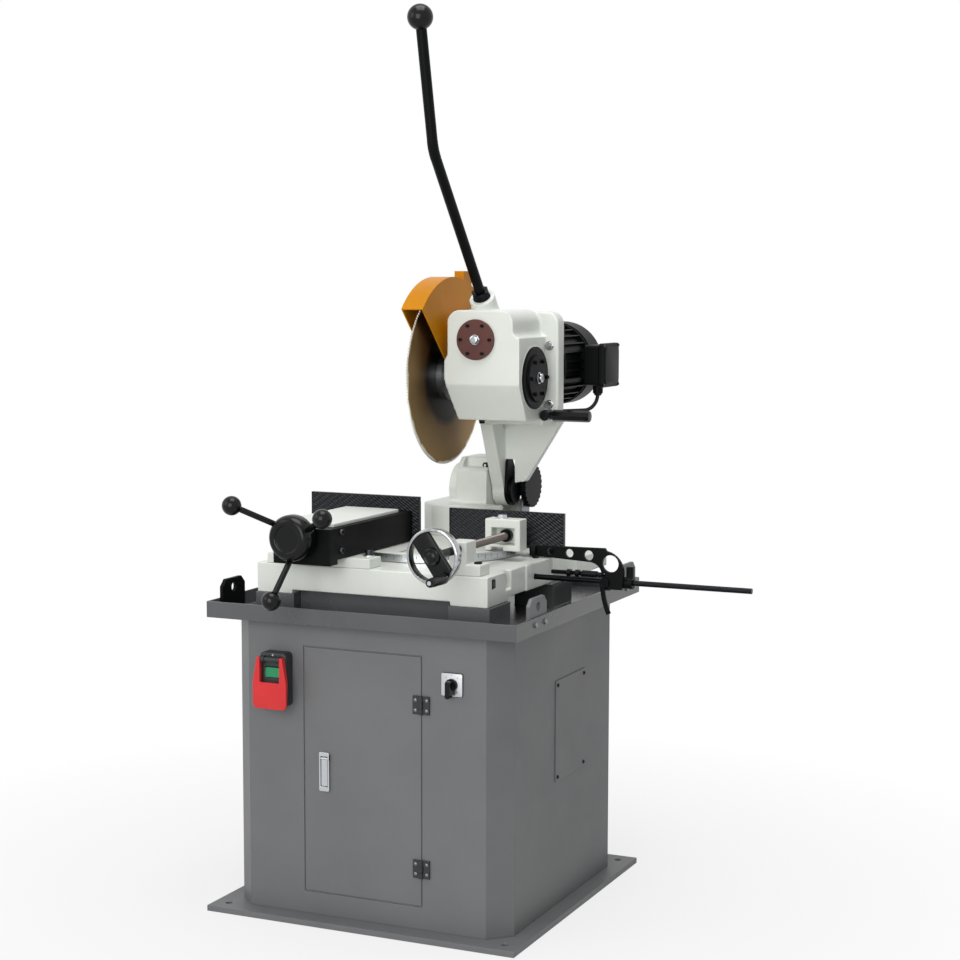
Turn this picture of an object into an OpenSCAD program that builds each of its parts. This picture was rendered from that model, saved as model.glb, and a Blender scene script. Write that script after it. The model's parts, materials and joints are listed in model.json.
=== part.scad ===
// Manual cold saw on a floor cabinet.
// A worm-geared saw head hinges on a swivelling column behind a screw vise.
// Millimetres, +Z up, +X to the operator's right, -Y towards the operator.
// The origin is the centre of the floor plate's underside.

/* [Stand] */
// Width and depth of the floor plate
plate_w = 680; // [660:2:760]
// Thickness of the floor plate
plate_t = 12; // [8:1:16]
// Distance of the anchor holes from the plate's edges
anchor_inset = 32.5; // [20:0.5:36]
// Diameter of the anchor holes
anchor_d = 14; // [10:1:18]
// Width of the cabinet
cab_w = 608; // [580:2:640]
// Depth of the cabinet
cab_d = 593; // [560:1:620]
// Height of the cabinet above the floor plate
cab_h = 591; // [560:1:660]
// Thickness of the cabinet sheet
cab_wall = 3; // [2:0.5:4]
// Leg of the chamfer on the cabinet's upright corners
cab_corner = 42; // [25:1:55]
// Width of the door
door_w = 258; // [220:2:290]
// Height of the door
door_h = 494; // [440:2:510]
// Thickness of the door sheet
door_t = 3; // [2:0.5:4]
// Offset of the door's centre from the cabinet's centre
door_x = -5; // [-20:1:10]
// Height of the door's lower edge above the floor plate
door_z = 47; // [35:1:60]
// Gap round the door
door_gap = 2.5; // [1.5:0.1:3]
// Side of a square door hinge
hinge_w = 36; // [28:1:44]
// Width of the service panel
panel_w = 162; // [120:2:200]
// Height of the service panel
panel_h = 208; // [150:2:240]
// Thickness of the service panel
panel_t = 2; // [1:0.5:4]

/* [Controls] */
// Width of the switch box
switch_w = 60; // [50:1:70]
// Height of the switch box
switch_h = 109; // [102:1:120]
// Depth of the switch box
switch_d = 28; // [22:1:36]
// Width of the stop paddle at its lower end
paddle_w = 76; // [68:1:84]
// Length of the stop paddle
paddle_h = 104; // [98:1:112]
// Thickness of the stop paddle
paddle_t = 13; // [9:1:16]
// Side of the selector's front plate
selector_w = 46; // [40:1:52]
// Diameter of the selector knob
selector_d = 25; // [22:1:30]

/* [Tray] */
// Width of the chip tray
tray_w = 677; // [650:1:700]
// Depth of the chip tray
tray_d = 674; // [650:1:700]
// Height of the chip tray's rim
tray_h = 33; // [26:1:40]
// Thickness of the tray's sheet
tray_wall = 4; // [3:0.5:5]
// Height of the posts that carry the bed
post_h = 46; // [38:1:60]
// Width of a lifting lug
lug_w = 86; // [70:1:96]
// Thickness of a lifting lug
lug_t = 8; // [5:1:10]
// Height of a lifting lug above the tray's rim
lug_rise = 37; // [34:1:50]
// Diameter of the hole in a lifting lug
lug_hole_d = 18; // [14:1:22]

/* [Bed and table] */
// Width of the bed casting
bed_w = 516; // [500:2:540]
// Reach of the bed in front of the stand's centre
bed_front = 273; // [262:1:282]
// Height of the bed casting with its feet
bed_h = 60; // [54:1:70]
// Width of the wings that carry the fences
wing_w = 622; // [610:2:640]
// Thickness of the wings
wing_t = 36; // [28:1:44]
// Distance of the swivel axis behind the stand's centre
table_y = 17; // [12:1:22]
// Radius of the swivel table
table_r = 178; // [172:1:182]
// Thickness of the swivel table
table_t = 18; // [16:1:22]
// Radial width of the degree ring
ring_w = 6.5; // [4:0.5:8]
// Width of the blade slot in the table
slot_w = 10; // [8:0.5:14]
// Diameter of the king pin
king_d = 36; // [28:1:40]
// Gap between the two fences
fence_gap = 70; // [60:1:80]
// Length of each fence
fence_l = 257; // [245:1:265]
// Thickness of the serrated fence plate
fence_plate_t = 10; // [8:0.5:11]
// Thickness of the fence casting behind the plate
fence_body_t = 18; // [14:0.5:19]
// Height of the left fence above the table
fence_left_h = 94; // [85:1:100]
// Height of the right fence above the table
fence_right_h = 75; // [66:1:77]

/* [Column] */
// Distance of the head pivot behind the swivel axis
pivot_back = 215; // [211:1:222]
// Height of the head pivot above the table
pivot_h = 95; // [93:1:104]
// Diameter of the pivot shaft
pivot_d = 40; // [34:1:44]
// Width of the column's pivot block
block_w = 72; // [66:1:76]
// Height of the column's base above the table
column_base_h = 68; // [55:1:70]
// Diameter of the spring adjuster disc
spring_disc_d = 94; // [80:1:98]
// Wire diameter of the return spring
spring_wire = 6; // [4:0.5:6]
// Mean radius of the return spring
spring_r = 17; // [15:0.5:18]

/* [Vise] */
// Width of the vise carriage
vise_w = 142; // [130:1:150]
// Height of the vise carriage
vise_h = 63; // [58:1:70]
// Length of the vise carriage from its front plate to its jaw
vise_l = 323; // [310:1:330]
// Thickness of the vise's front plate
vise_front_t = 32; // [24:1:36]
// Thickness of the carriage's side walls
vise_side_t = 27; // [22:1:32]
// Thickness of the carriage's cover
vise_cover_t = 7.5; // [5:0.5:10]
// Distance of the vise's centre line left of the blade
vise_x = 121; // [114:1:126]
// Diameter of the vise screw
vise_screw_d = 22; // [18:1:26]
// Rim diameter of the vise hub
hub_d = 91; // [84:1:100]
// Radius of the circle on which the ball knobs lie
hub_reach = 115; // [100:1:125]
// Diameter of a vise ball knob
vise_ball_d = 38; // [32:1:42]
// Diameter of a vise spoke
spoke_d = 12; // [9:1:14]

/* [Side clamp] */
// Distance of the clamp screw from the bed's right side
clamp_inset = 68; // [66:1:78]
// Diameter of the clamp screw
clamp_screw_d = 16; // [12:1:18]
// Width of the clamp jaw
clamp_w = 77; // [70:1:84]
// Height of the clamp jaw
clamp_h = 64; // [58:1:70]
// Thickness of the clamp jaw
clamp_t = 36; // [30:1:40]
// Diameter of the handwheel
wheel_d = 107; // [96:1:116]
// Thickness of the handwheel's rim
wheel_rim_d = 12; // [10:0.5:14]
// Length of the handwheel's grip
grip_l = 68; // [50:1:78]

/* [Bar stop] */
// Diameter of the stop rod
stop_d = 11; // [9:0.5:12]
// Length of the stop rod outside the bed
stop_l = 450; // [400:5:470]
// Thickness of the stop arm
stop_arm_t = 8; // [6:0.5:10]

/* [Saw head] */
// Diameter of the saw blade
blade_d = 370; // [350:1:374]
// Thickness of the saw blade
blade_t = 3; // [2:0.5:3.5]
// Number of teeth on the saw blade
blade_teeth = 180; // [120:20:200]
// Diameter of the blade's clamping flanges
flange_d = 100; // [80:1:110]
// Distance of the spindle in front of the head pivot
spindle_fwd = 157; // [155:1:162]
// Height of the spindle above the head pivot
spindle_up = 251; // [249:1:258]
// Diameter of the spindle
spindle_d = 40; // [34:1:44]
// Width of the gearbox
gearbox_w = 162; // [158:1:166]
// Height of the gearbox above the spindle
gearbox_up = 139; // [137:1:146]
// Depth of the gearbox below the spindle
gearbox_down = 88; // [86:1:92]
// Wall of the gearbox
gearbox_wall = 14; // [12:0.5:16]
// Diameter of the worm shaft's front cover
worm_cover_d = 83; // [70:1:90]
// Diameter of the spindle's side cover
spindle_cover_d = 98; // [86:1:110]
// Diameter of the motor over its fins
motor_d = 176; // [166:1:178]
// Length of the finned motor housing
motor_l = 146; // [130:1:160]
// Depth of the fan cover
fan_cover_l = 58; // [48:1:66]
// Diameter of the feed lever
lever_d = 21; // [18:0.5:24]
// Diameter of the feed lever's ball
lever_ball_d = 50; // [42:1:54]
// Radius of the guard's rim round the spindle
guard_r = 207; // [200:1:212]
// Width of the guard
guard_w = 49; // [46:1:52]
// Thickness of the guard's sheet
guard_t = 3; // [2:0.5:4]

/* [Clearances] */
// Gap between faces that move past each other
slip = 0.3; // [0.2:0.05:0.5]
// Radial clearance of a shaft in its bore
fit = 0.05; // [0.02:0.01:0.08]

/* [Hidden] */
$fn = 64;

// Heights of the stand, from the floor up
anchor_pitch = plate_w - 2 * anchor_inset;
tray_z = plate_t + cab_h;
tray_floor = tray_z + tray_wall;
tray_rim = tray_z + tray_h;
tray_y = 6;
bed_z = tray_floor + post_h;
bed_top = bed_z + bed_h;
table_z = bed_top + slip;
table_top = table_z + table_t;

// Cabinet faces and what sits on them
cab_front = -cab_d / 2;
cab_side = cab_w / 2;
door_low = plate_t + door_z;
door_right = door_x + door_w / 2;
hinge_pin_r = 2;
hinge_knuckle_r = 4.5;
hinge_leaf_t = 4;
hinge_x = door_right + door_gap / 2;
hinge_y = cab_front - hinge_knuckle_r;
hinge_end = 57;
hinge_zs = [door_low + hinge_end, door_low + door_h - 2 * hinge_end + 2];
latch_x = door_x - door_w / 2 + 46;
latch_z = door_low + door_h / 2;
latch_w = 13.5;
latch_l = 58;
latch_frame_w = 22.5;
latch_frame_h = 79;
latch_frame_t = 6;
latch_pin_r = 2.5;
latch_pin_y = cab_front - latch_frame_t / 2;
latch_pin_z = latch_z + latch_l / 2 - latch_pin_r;
panel_y = 29;
panel_z = plate_t + 360;
panel_inset = 10;
panel_screw_r = 4;
switch_x = -190;
switch_z = plate_t + 475;
paddle_y = cab_front - switch_d - slip - 2;
paddle_top = switch_z + 47;
button_w = 32;
button_h = 20;
button_z = switch_z + 15;
button_t = 14;
paddle_window = 44;
paddle_pin_r = 4;
paddle_pin_y = paddle_y - paddle_pin_r - 1;
paddle_pin_z = paddle_top - paddle_pin_r - 1;
ear_t = 7;
selector_x = 191;
selector_z = plate_t + 493;
selector_plate_t = 3;
selector_shank_r = 11;
selector_knob_t = 22;
spigot_r = 5;
spigot_l = 12;

// Bed outline
bed_mid = table_y + fence_plate_t + fence_body_t - 2;
bed_back = table_y + table_r + ring_w + 14;
foot_h = 8;
bed_under = bed_z + foot_h;
well_r = table_r - 28;
well_z = bed_top - 15;
post_w = 88;
post_d = 100;

// Fences
fence_y = table_y;
fence_back = fence_y + fence_plate_t + fence_body_t;
fence_low = table_top + 0.7;
fence_foot_x = table_r + ring_w + 20;

// Head pivot and spindle
pivot_y = table_y + pivot_back;
pivot_z = table_top + pivot_h;
spindle_y = pivot_y - spindle_fwd;
spindle_z = pivot_z + spindle_up;

// Column
column_front = table_y + 107;
column_chamfer = 34;
column_hw = 91;
column_back = pivot_y + 78;
block_x = -22;
block_front = pivot_y - 60;
block_top = pivot_z + 70;
block_right = block_x + block_w;
spring_y = pivot_y + 57;
spring_z = pivot_z + 4;
spring_turns = 4;
spring_x0 = block_right + spring_wire / 2 + slip;
spring_pitch = (column_hw - slip - spring_wire / 2 - spring_x0) / spring_turns;
spring_disc_t = 12;
spring_strap_t = 6;

// Vise
vise_z = table_top + 2;
vise_top = vise_z + vise_h;
vise_jaw_y = fence_y - 3;
vise_front = vise_jaw_y - vise_l;
vise_axis_z = vise_top - 17;
vise_base_d = 50;
vise_base_top = vise_z - slip;
vise_jaw_t = 42;
guide_w = vise_w - 2 * vise_side_t - 2 * slip;
guide_h = 24;
hub_neck_l = 9;
hub_rim_l = 15;
hub_nose_l = 21;
hub_y = vise_front - vise_front_t - slip;
hub_nose_d = 74;
ball_y = hub_y - hub_neck_l - hub_rim_l - 65;

// Side clamp
clamp_x = bed_w / 2 - clamp_inset;
clamp_z = table_top + 32;
clamp_low = table_top + 2.7;
clamp_back = fence_y - 38;
clamp_front = clamp_back - clamp_t;
bracket_d = 46;
bracket_front = -bed_front + 1;
bracket_w = 38;
bracket_foot_h = 22;
wheel_y = bracket_front - 108;
wheel_r = wheel_d / 2 - wheel_rim_d / 2;
grip_r = 10;
grip_angle = -55;
grip_pin_r = 5;

// Bar stop
stop_y = -48;
stop_z = bed_top - 28;
stop_x0 = bed_w / 2;
stop_inset = 50;
stop_clamp_x = stop_x0 + 178;
stop_clamp_w = 34;
stop_clamp_r = 12;
stop_arm_y = stop_y - 14;
stop_arm_x0 = stop_x0 + 11;

// Gearbox, given from the spindle
gb_front = spindle_y - 75;
gb_back = spindle_y + 65;
gb_left = 38;
gb_right = gb_left + gearbox_w;
gb_top = spindle_z + gearbox_up;
gb_low = spindle_z - gearbox_down;
gb_crease = spindle_z - 14;
gb_round = 28;
motor_flange_t = 33;
arm_w = 28;
pivot_plate_r = 34;
pivot_plate_t = 7;
mf_y0 = gb_back - 2;
mf_y1 = mf_y0 + motor_flange_t;
worm_x = 104;
worm_z = spindle_z + 79;
motor_x = 143;
motor_z = spindle_z + 20;
gear_dist = norm([motor_x - worm_x, motor_z - worm_z]);
gear_teeth = 36;
pinion_teeth = 24;
gear_r = gear_dist * gear_teeth / (gear_teeth + pinion_teeth);
pinion_r = gear_dist - gear_r;
gear_y0 = mf_y0 + 12;
gear_t = 14;
gear_line = atan2(motor_z - worm_z, motor_x - worm_x);
spindle_bearing_r = 31;
spindle_bearing_t = 16;
worm_bearing_r = 20;
worm_bearing_t = 14;
worm_shaft_r = 12;
worm_r = 21;
wheel_teeth = 40;
worm_wheel_r = worm_z - spindle_z - worm_r - 0.8;
boss_r = 63;
boss_l = 4;
cover_t = 8;
worm_cover_t = 6;
screw_r = 3.5;
screw_h = 4;

// Motor
motor_y0 = mf_y1;
motor_y1 = motor_y0 + motor_l;
motor_core_r = motor_d / 2 - 9;
motor_end_t = 14;
motor_bore_r = motor_core_r - 12;
fin_n = 28;
fin_t = 3;
rotor_r = 48;
rotor_shaft_r = 14;
fan_y1 = motor_y1 + motor_end_t - 6 + fan_cover_l;
box_x0 = motor_x + motor_d / 2 + 3;
box_w = 34;
box_y0 = motor_y0 + 100;
box_d = 86;
box_h = 86;
lid_t = 12;
gland_r = 11;
gland_l = 18;
lead_r = 4;
lead_bend = 35;

// Feed lever, leaning in the plane X = lever_x
lever_x = 95;
lever_lean = 38.8;
lever_upper_lean = 12.9;
lever_bend_r = 80;
lever_low_l = 347;
lever_up_l = 223;
lever_bend_extra = 0.25;
lever_foot = [spindle_y - 27, gb_top + 26];
lever_boss_r = 27;
lever_boss_l = 60;
lever_nut_h = 16;
lever_nut_af = 34;

// Lock handle at the gearbox's lower right
lock_x = gb_right + 13;
lock_z = gb_low + 9;
lock_y = mf_y0 - 26;
lock_l = 98;

function arc(c, r, a0, a1, n = 8) = [for (i = [0 : n]) let (a = a0 + (a1 - a0) * i / n)
  c + r * [cos(a), sin(a)]];
function round_rect(w, h, r, n = 6) = concat(arc([w / 2 - r, h / 2 - r], r, 0, 90, n),
  arc([r - w / 2, h / 2 - r], r, 90, 180, n), arc([r - w / 2, r - h / 2], r, 180, 270, n),
  arc([w / 2 - r, r - h / 2], r, 270, 360, n));
function chamfered(w, d, c) = [[w / 2, c - d / 2], [w / 2, d / 2 - c], [w / 2 - c, d / 2],
  [c - w / 2, d / 2], [-w / 2, d / 2 - c], [-w / 2, c - d / 2], [c - w / 2, -d / 2], [w / 2 - c, -d / 2]];
function polar(r, a) = r * [cos(a), sin(a)];
function gear_outline(n, r, add, ded, phase) = [for (i = [0 : n - 1])
  for (k = [[-0.31, r - ded], [-0.14, r + add], [0.14, r + add], [0.31, r - ded]])
  polar(k[1], phase + 360 * (i + k[0]) / n)];

module along_x(x0, x1) {
  translate([x0, 0, 0])
    rotate([90, 0, 90])
      linear_extrude(x1 - x0)
        children();
}
module along_y(y0, y1) {
  translate([0, y1, 0])
    rotate([90, 0, 0])
      linear_extrude(y1 - y0)
        children();
}
module along_z(z0, z1) {
  translate([0, 0, z0])
    linear_extrude(z1 - z0)
      children();
}
module block(x0, x1, y0, y1, z0, z1) {
  translate([x0, y0, z0])
    cube([x1 - x0, y1 - y0, z1 - z0]);
}
module rod_x(x0, x1, y, z, r, sides = 64) {
  translate([x0, y, z])
    rotate([0, 90, 0])
      cylinder(h = x1 - x0, r = r, $fn = sides);
}
module rod_y(y0, y1, x, z, r, sides = 64) {
  translate([x, y1, z])
    rotate([90, 0, 0])
      cylinder(h = y1 - y0, r = r, $fn = sides);
}
module rod_z(z0, z1, x, y, r, sides = 64) {
  translate([x, y, z0])
    cylinder(h = z1 - z0, r = r, $fn = sides);
}
module at_corners(w, h) {
  for (x = [-w / 2, w / 2])
    for (y = [-h / 2, h / 2])
      translate([x, y])
        children();
}

// Floor plate with its anchor holes
module base_plate() {
  color("#6f7173")
    difference() {
      translate([-plate_w / 2, -plate_w / 2, 0])
        cube([plate_w, plate_w, plate_t]);
      at_corners(anchor_pitch, anchor_pitch)
        translate([0, 0, -1])
          cylinder(h = plate_t + 2, d = anchor_d);
    }
}

// Door opening in the cabinet's front, grown by a margin on every side
module door_window(margin, y0, y1) {
  block(door_x - door_w / 2 - margin, door_right + margin, y0, y1,
    door_low - margin, door_low + door_h + margin);
}

// Folded and welded cabinet, open below and above, with a lip behind the door
module cabinet_shell() {
  lip_t = 2;
  lip_w = 12;
  inner_corner = cab_corner - cab_wall * (2 - sqrt(2));
  inside = cab_front + cab_wall;
  color("#707274")
    difference() {
      union() {
        difference() {
          along_z(plate_t, tray_z)
            polygon(chamfered(cab_w, cab_d, cab_corner));
          along_z(plate_t - 1, tray_z + 1)
            polygon(chamfered(cab_w - 2 * cab_wall, cab_d - 2 * cab_wall, inner_corner));
        }
        door_window(lip_w, inside - cab_wall / 2, inside + lip_t);
      }
      door_window(-lip_w, inside - 1, inside + lip_t + 1);
      door_window(door_gap, cab_front - 1, inside);
      block(cab_side - cab_wall - 1, cab_side + 1, panel_y - panel_w / 2 + 2 * panel_inset,
        panel_y + panel_w / 2 - 2 * panel_inset, panel_z - panel_h / 2 + 2 * panel_inset,
        panel_z + panel_h / 2 - 2 * panel_inset);
      rod_y(cab_front - 1, inside + 1, selector_x, selector_z, selector_shank_r + slip);
    }
}

// Flush door with a folded stiffener behind it
module cabinet_door() {
  fold_in = 17;
  fold_t = 2;
  fold_l = 12;
  color("#707274") {
    door_window(0, cab_front, cab_front + door_t);
    difference() {
      door_window(-fold_in, cab_front + door_t, cab_front + door_t + fold_l);
      door_window(-fold_in - fold_t, cab_front + door_t - 1, cab_front + door_t + fold_l + 1);
    }
  }
}

// One half of a door hinge: side is -1 on the door and 1 on the frame
module hinge_leaf(z, side) {
  reach = hinge_w / 2;
  third = hinge_w / 3;
  lows = side < 0 ? [third + slip] : [0, 2 * third + slip];
  root = hinge_knuckle_r + slip;
  translate([hinge_x, 0, z])
    difference() {
      union() {
        block(min(side * root, side * reach), max(side * root, side * reach),
          cab_front - hinge_leaf_t, cab_front, 0, hinge_w);
        for (low = lows) {
          block(min(0, side * root), max(0, side * root), cab_front - hinge_leaf_t, cab_front - 1,
            low, low + third - slip);
          rod_z(low, low + third - slip, 0, hinge_y, hinge_knuckle_r);
        }
      }
      rod_z(-1, hinge_w + 1, 0, hinge_y, hinge_pin_r + fit);
    }
}
module door_hinge_leaves() {
  color("#3a3b3c")
    for (z = hinge_zs)
      hinge_leaf(z, -1);
}
module frame_hinge_leaves() {
  color("#3a3b3c")
    for (z = hinge_zs)
      hinge_leaf(z, 1);
}

// Frame of the door latch, with a recess for its pull lever
module latch_frame() {
  play = 1;
  color("#b9bcbd")
    difference() {
      along_y(cab_front - latch_frame_t, cab_front)
        translate([latch_x, latch_z])
          polygon(round_rect(latch_frame_w, latch_frame_h, 3));
      block(latch_x - latch_w / 2 - play, latch_x + latch_w / 2 + play, cab_front - latch_frame_t - 1,
        cab_front + 1, latch_z - latch_l / 2 - play, latch_z + latch_l / 2 + 2 * play);
      rod_x(latch_x - latch_w, latch_x + latch_w, latch_pin_y, latch_pin_z, latch_pin_r + fit);
    }
}

// Pull lever of the door latch, on a pin through its upper end
module latch_lever() {
  lever_t = 3;
  pin_l = latch_frame_w - 4;
  color("#c8cacc") {
    along_y(latch_pin_y - lever_t / 2, latch_pin_y + lever_t / 2)
      translate([latch_x, latch_z])
        polygon(round_rect(latch_w, latch_l, 2));
    rod_x(latch_x - pin_l / 2, latch_x + pin_l / 2, latch_pin_y, latch_pin_z, latch_pin_r);
  }
}

// Bolted service cover on the right side
module service_panel() {
  color("#6a6c6e")
    difference() {
      along_x(cab_side, cab_side + panel_t)
        translate([panel_y, panel_z])
          polygon(round_rect(panel_w, panel_h, 4));
      at_panel_screws()
        rod_x(cab_side - 1, cab_side + panel_t + 1, 0, 0, panel_screw_r / 2);
    }
}
module at_panel_screws() {
  for (y = [panel_inset - panel_w / 2, panel_w / 2 - panel_inset])
    for (z = [panel_inset - panel_h / 2, panel_h / 2 - panel_inset])
      translate([0, panel_y + y, panel_z + z])
        children();
}

// Bolts of the vise base and the clamp bracket: place of each head's seat
vise_bolts = [[-vise_x + vise_w / 2 + 27, bracket_front + 42, vise_base_top],
  [-vise_x - vise_w / 2 - 17, bracket_front + 26, vise_base_top]];
bracket_bolt = [clamp_x + bracket_w / 2 + 14, bracket_front + bracket_d / 2, bed_top + bracket_foot_h];
lug_screw_pitch = 47;

// Socket-head cap screw standing on a horizontal seat
module cap_screw(r, h) {
  difference() {
    cylinder(h = h, r = r);
    translate([0, 0, h / 2])
      cylinder(h = h, r = r / 2, $fn = 6);
  }
}

// Hinge pins, panel screws, lug screws and the bolts on the bed
module stand_fasteners() {
  bolt_r = 8;
  bolt_h = 12;
  head_t = 3;
  color("#8f9193") {
    for (z = hinge_zs)
      rod_z(z, z + hinge_w, hinge_x, hinge_y, hinge_pin_r);
    at_panel_screws() {
      rod_x(cab_side + panel_t, cab_side + panel_t + head_t, 0, 0, panel_screw_r);
      rod_x(cab_side, cab_side + panel_t, 0, 0, panel_screw_r / 2 - fit);
    }
    for (lug = lug_places)
      for (y = [-lug_screw_pitch / 2, lug_screw_pitch / 2])
        rod_x(lug[0] > 0 ? tray_w / 2 : -tray_w / 2 - head_t - 1,
          lug[0] > 0 ? tray_w / 2 + head_t + 1 : -tray_w / 2, lug[1] + y, tray_rim - 14, 6);
    for (seat = vise_bolts)
      translate(seat)
        cap_screw(bolt_r, bolt_h);
    translate(bracket_bolt)
      cap_screw(bolt_r, bolt_h / 3);
  }
}

// Switch box with a recess for the start button and two ears for the paddle's pin
module switch_box() {
  ear_r = paddle_pin_r + 2.5;
  ear_x = paddle_window / 2 - ear_t - 1;
  color("#3c3f40")
    difference() {
      union() {
        along_y(cab_front - switch_d, cab_front)
          translate([switch_x, switch_z])
            polygon(round_rect(switch_w, switch_h, 9));
        for (x = [-ear_x - ear_t, ear_x]) {
          block(switch_x + x, switch_x + x + ear_t, paddle_pin_y, cab_front - switch_d + 1,
            paddle_pin_z - ear_r, paddle_pin_z + ear_r);
          rod_x(switch_x + x, switch_x + x + ear_t, paddle_pin_y, paddle_pin_z, ear_r);
        }
      }
      block(switch_x - button_w / 2 - slip, switch_x + button_w / 2 + slip, cab_front - switch_d - 1,
        cab_front - switch_d + button_t, button_z - button_h / 2 - slip, button_z + button_h / 2 + slip);
      rod_x(switch_x - switch_w, switch_x + switch_w, paddle_pin_y, paddle_pin_z, paddle_pin_r + fit);
    }
}

// Stop paddle, hung from its upper end, with a window over the start button
module stop_paddle() {
  neck_w = 58;
  taper_z = 50;
  window_low = button_z - button_h / 2 - 9;
  hw = paddle_w / 2;
  round_r = 10;
  foot_t = 6;
  color("#e0282c") {
    difference() {
      intersection() {
        along_y(paddle_y - paddle_t, paddle_y)
          translate([switch_x, paddle_top])
            polygon(concat([[neck_w / 2, 0], [-neck_w / 2, 0], [-hw, -taper_z]],
              arc([round_r - hw, round_r - paddle_h], round_r, 180, 270),
              arc([hw - round_r, round_r - paddle_h], round_r, 270, 360), [[hw, -taper_z]]));
        along_x(switch_x - paddle_w, switch_x + paddle_w)
          translate([paddle_y, paddle_top])
            polygon([[0, 1], [-paddle_t, 1], [-paddle_t, -paddle_h - 1],
              [foot_t - paddle_t, -paddle_h - 1], [0, -2 * paddle_pin_r - 2]]);
      }
      block(switch_x - paddle_window / 2, switch_x + paddle_window / 2, paddle_y - paddle_t - 1,
        paddle_y + 1, window_low, paddle_top + 1);
    }
    rod_x(switch_x - neck_w / 2 + 3, switch_x + neck_w / 2 - 3, paddle_pin_y, paddle_pin_z, paddle_pin_r);
  }
}

// Start button in the switch box
module start_button() {
  proud = 2;
  travel = 4;
  color("#1f9a63")
    along_y(cab_front - switch_d - proud, cab_front - switch_d + button_t - travel)
      translate([switch_x, button_z])
        polygon(round_rect(button_w, button_h, 3));
}

// Speed selector: front plate outside, shank through the wall, contact block inside
module selector_switch() {
  body_w = 40;
  body_d = 45;
  color("#c9cacb")
    difference() {
      union() {
        along_y(cab_front - selector_plate_t, cab_front)
          translate([selector_x, selector_z])
            polygon(round_rect(selector_w, selector_w, 4));
        rod_y(cab_front - 1, cab_front + cab_wall + 1, selector_x, selector_z, selector_shank_r);
        along_y(cab_front + cab_wall, cab_front + cab_wall + body_d)
          translate([selector_x, selector_z])
            square(body_w, center = true);
      }
      rod_y(cab_front - selector_plate_t - 1, cab_front + cab_wall + spigot_l, selector_x, selector_z,
        spigot_r + fit);
    }
}

// Selector knob with a pointer bar
module selector_knob() {
  bar = [10, 34, 7];
  skirt_t = 6;
  y0 = cab_front - selector_plate_t - slip;
  color("#202122") {
    rod_y(y0 - skirt_t, y0, selector_x, selector_z, selector_d / 2);
    rod_y(y0 - 1, cab_front + cab_wall + spigot_l - 2, selector_x, selector_z, spigot_r);
    along_y(y0 - selector_knob_t, y0 - skirt_t)
      translate([selector_x, selector_z - bar[2]])
        polygon(round_rect(bar[0], bar[1], 4));
  }
}

// Posts under the bed: left edge, front edge and depth of each
posts = [[-bed_w / 2, -bed_front, post_d / 2], [bed_w / 2 - post_w, -bed_front, post_d],
  [-bed_w / 2, -96, post_d], [bed_w / 2 - post_w, bed_mid + 6, post_d],
  [-bed_w / 2, bed_mid + 6, post_d]];

// Chip tray with the welded posts that carry the bed, the plinth between them and a drain hole
drain_at = [-150, bed_back + 40];
module chip_tray() {
  drain_r = 14;
  plinth_in = 29;
  plinth_t = 6;
  color("#6d6f71") {
    difference() {
      translate([-tray_w / 2, tray_y - tray_d / 2, tray_z])
        cube([tray_w, tray_d, tray_h]);
      translate([tray_wall - tray_w / 2, tray_wall + tray_y - tray_d / 2, tray_floor])
        cube([tray_w - 2 * tray_wall, tray_d - 2 * tray_wall, tray_h]);
      rod_z(tray_z - 1, tray_floor + 1, drain_at[0], drain_at[1], drain_r);
    }
    for (p = posts)
      block(p[0], p[0] + post_w, p[1], p[1] + p[2], tray_floor, bed_z);
    block(post_w - bed_w / 2, bed_w / 2 - post_w, plinth_in - bed_front, plinth_in + plinth_t - bed_front,
      tray_floor, bed_under);
  }
}

// Lifting lugs bolted inside the tray's side rims: side and place along the rim
lug_places = [[-1, -244], [1, -214], [-1, 286], [1, 286]];
module lifting_lugs() {
  corner = 14;
  hole_drop = 19;
  top = tray_rim + lug_rise;
  x1 = tray_w / 2 - tray_wall;
  color("#1f2021")
    for (lug = lug_places)
      difference() {
        along_x(lug[0] > 0 ? x1 - lug_t : -x1, lug[0] > 0 ? x1 : lug_t - x1)
          translate([lug[1], 0])
            polygon([[-lug_w / 2, tray_floor], [lug_w / 2, tray_floor], [lug_w / 2, top - corner],
              [lug_w / 2 - corner, top], [corner - lug_w / 2, top], [-lug_w / 2, top - corner]]);
        rod_x(-tray_w, tray_w, lug[1], top - hole_drop, lug_hole_d / 2);
      }
}

// Coolant tank inside the cabinet, and the pump that stands on it
module coolant_unit() {
  tank = [230, 300, 170];
  tank_x = drain_at[0] - tank[0] / 2;
  tank_y = drain_at[1] + 25 - tank[1];
  tank_wall = 4;
  pump_r = 55;
  pump_h = 150;
  color("#4c5356")
    difference() {
      translate([tank_x, tank_y, plate_t])
        cube(tank);
      translate([tank_x + tank_wall, tank_y + tank_wall, plate_t + tank_wall])
        cube([tank[0] - 2 * tank_wall, tank[1] - 2 * tank_wall, tank[2] - 2 * tank_wall]);
    }
  color("#2c4a63")
    translate([tank_x + tank[0] / 2, tank_y + tank[1] / 2, plate_t + tank[2]])
      cylinder(h = pump_h, r = pump_r);
}

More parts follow.
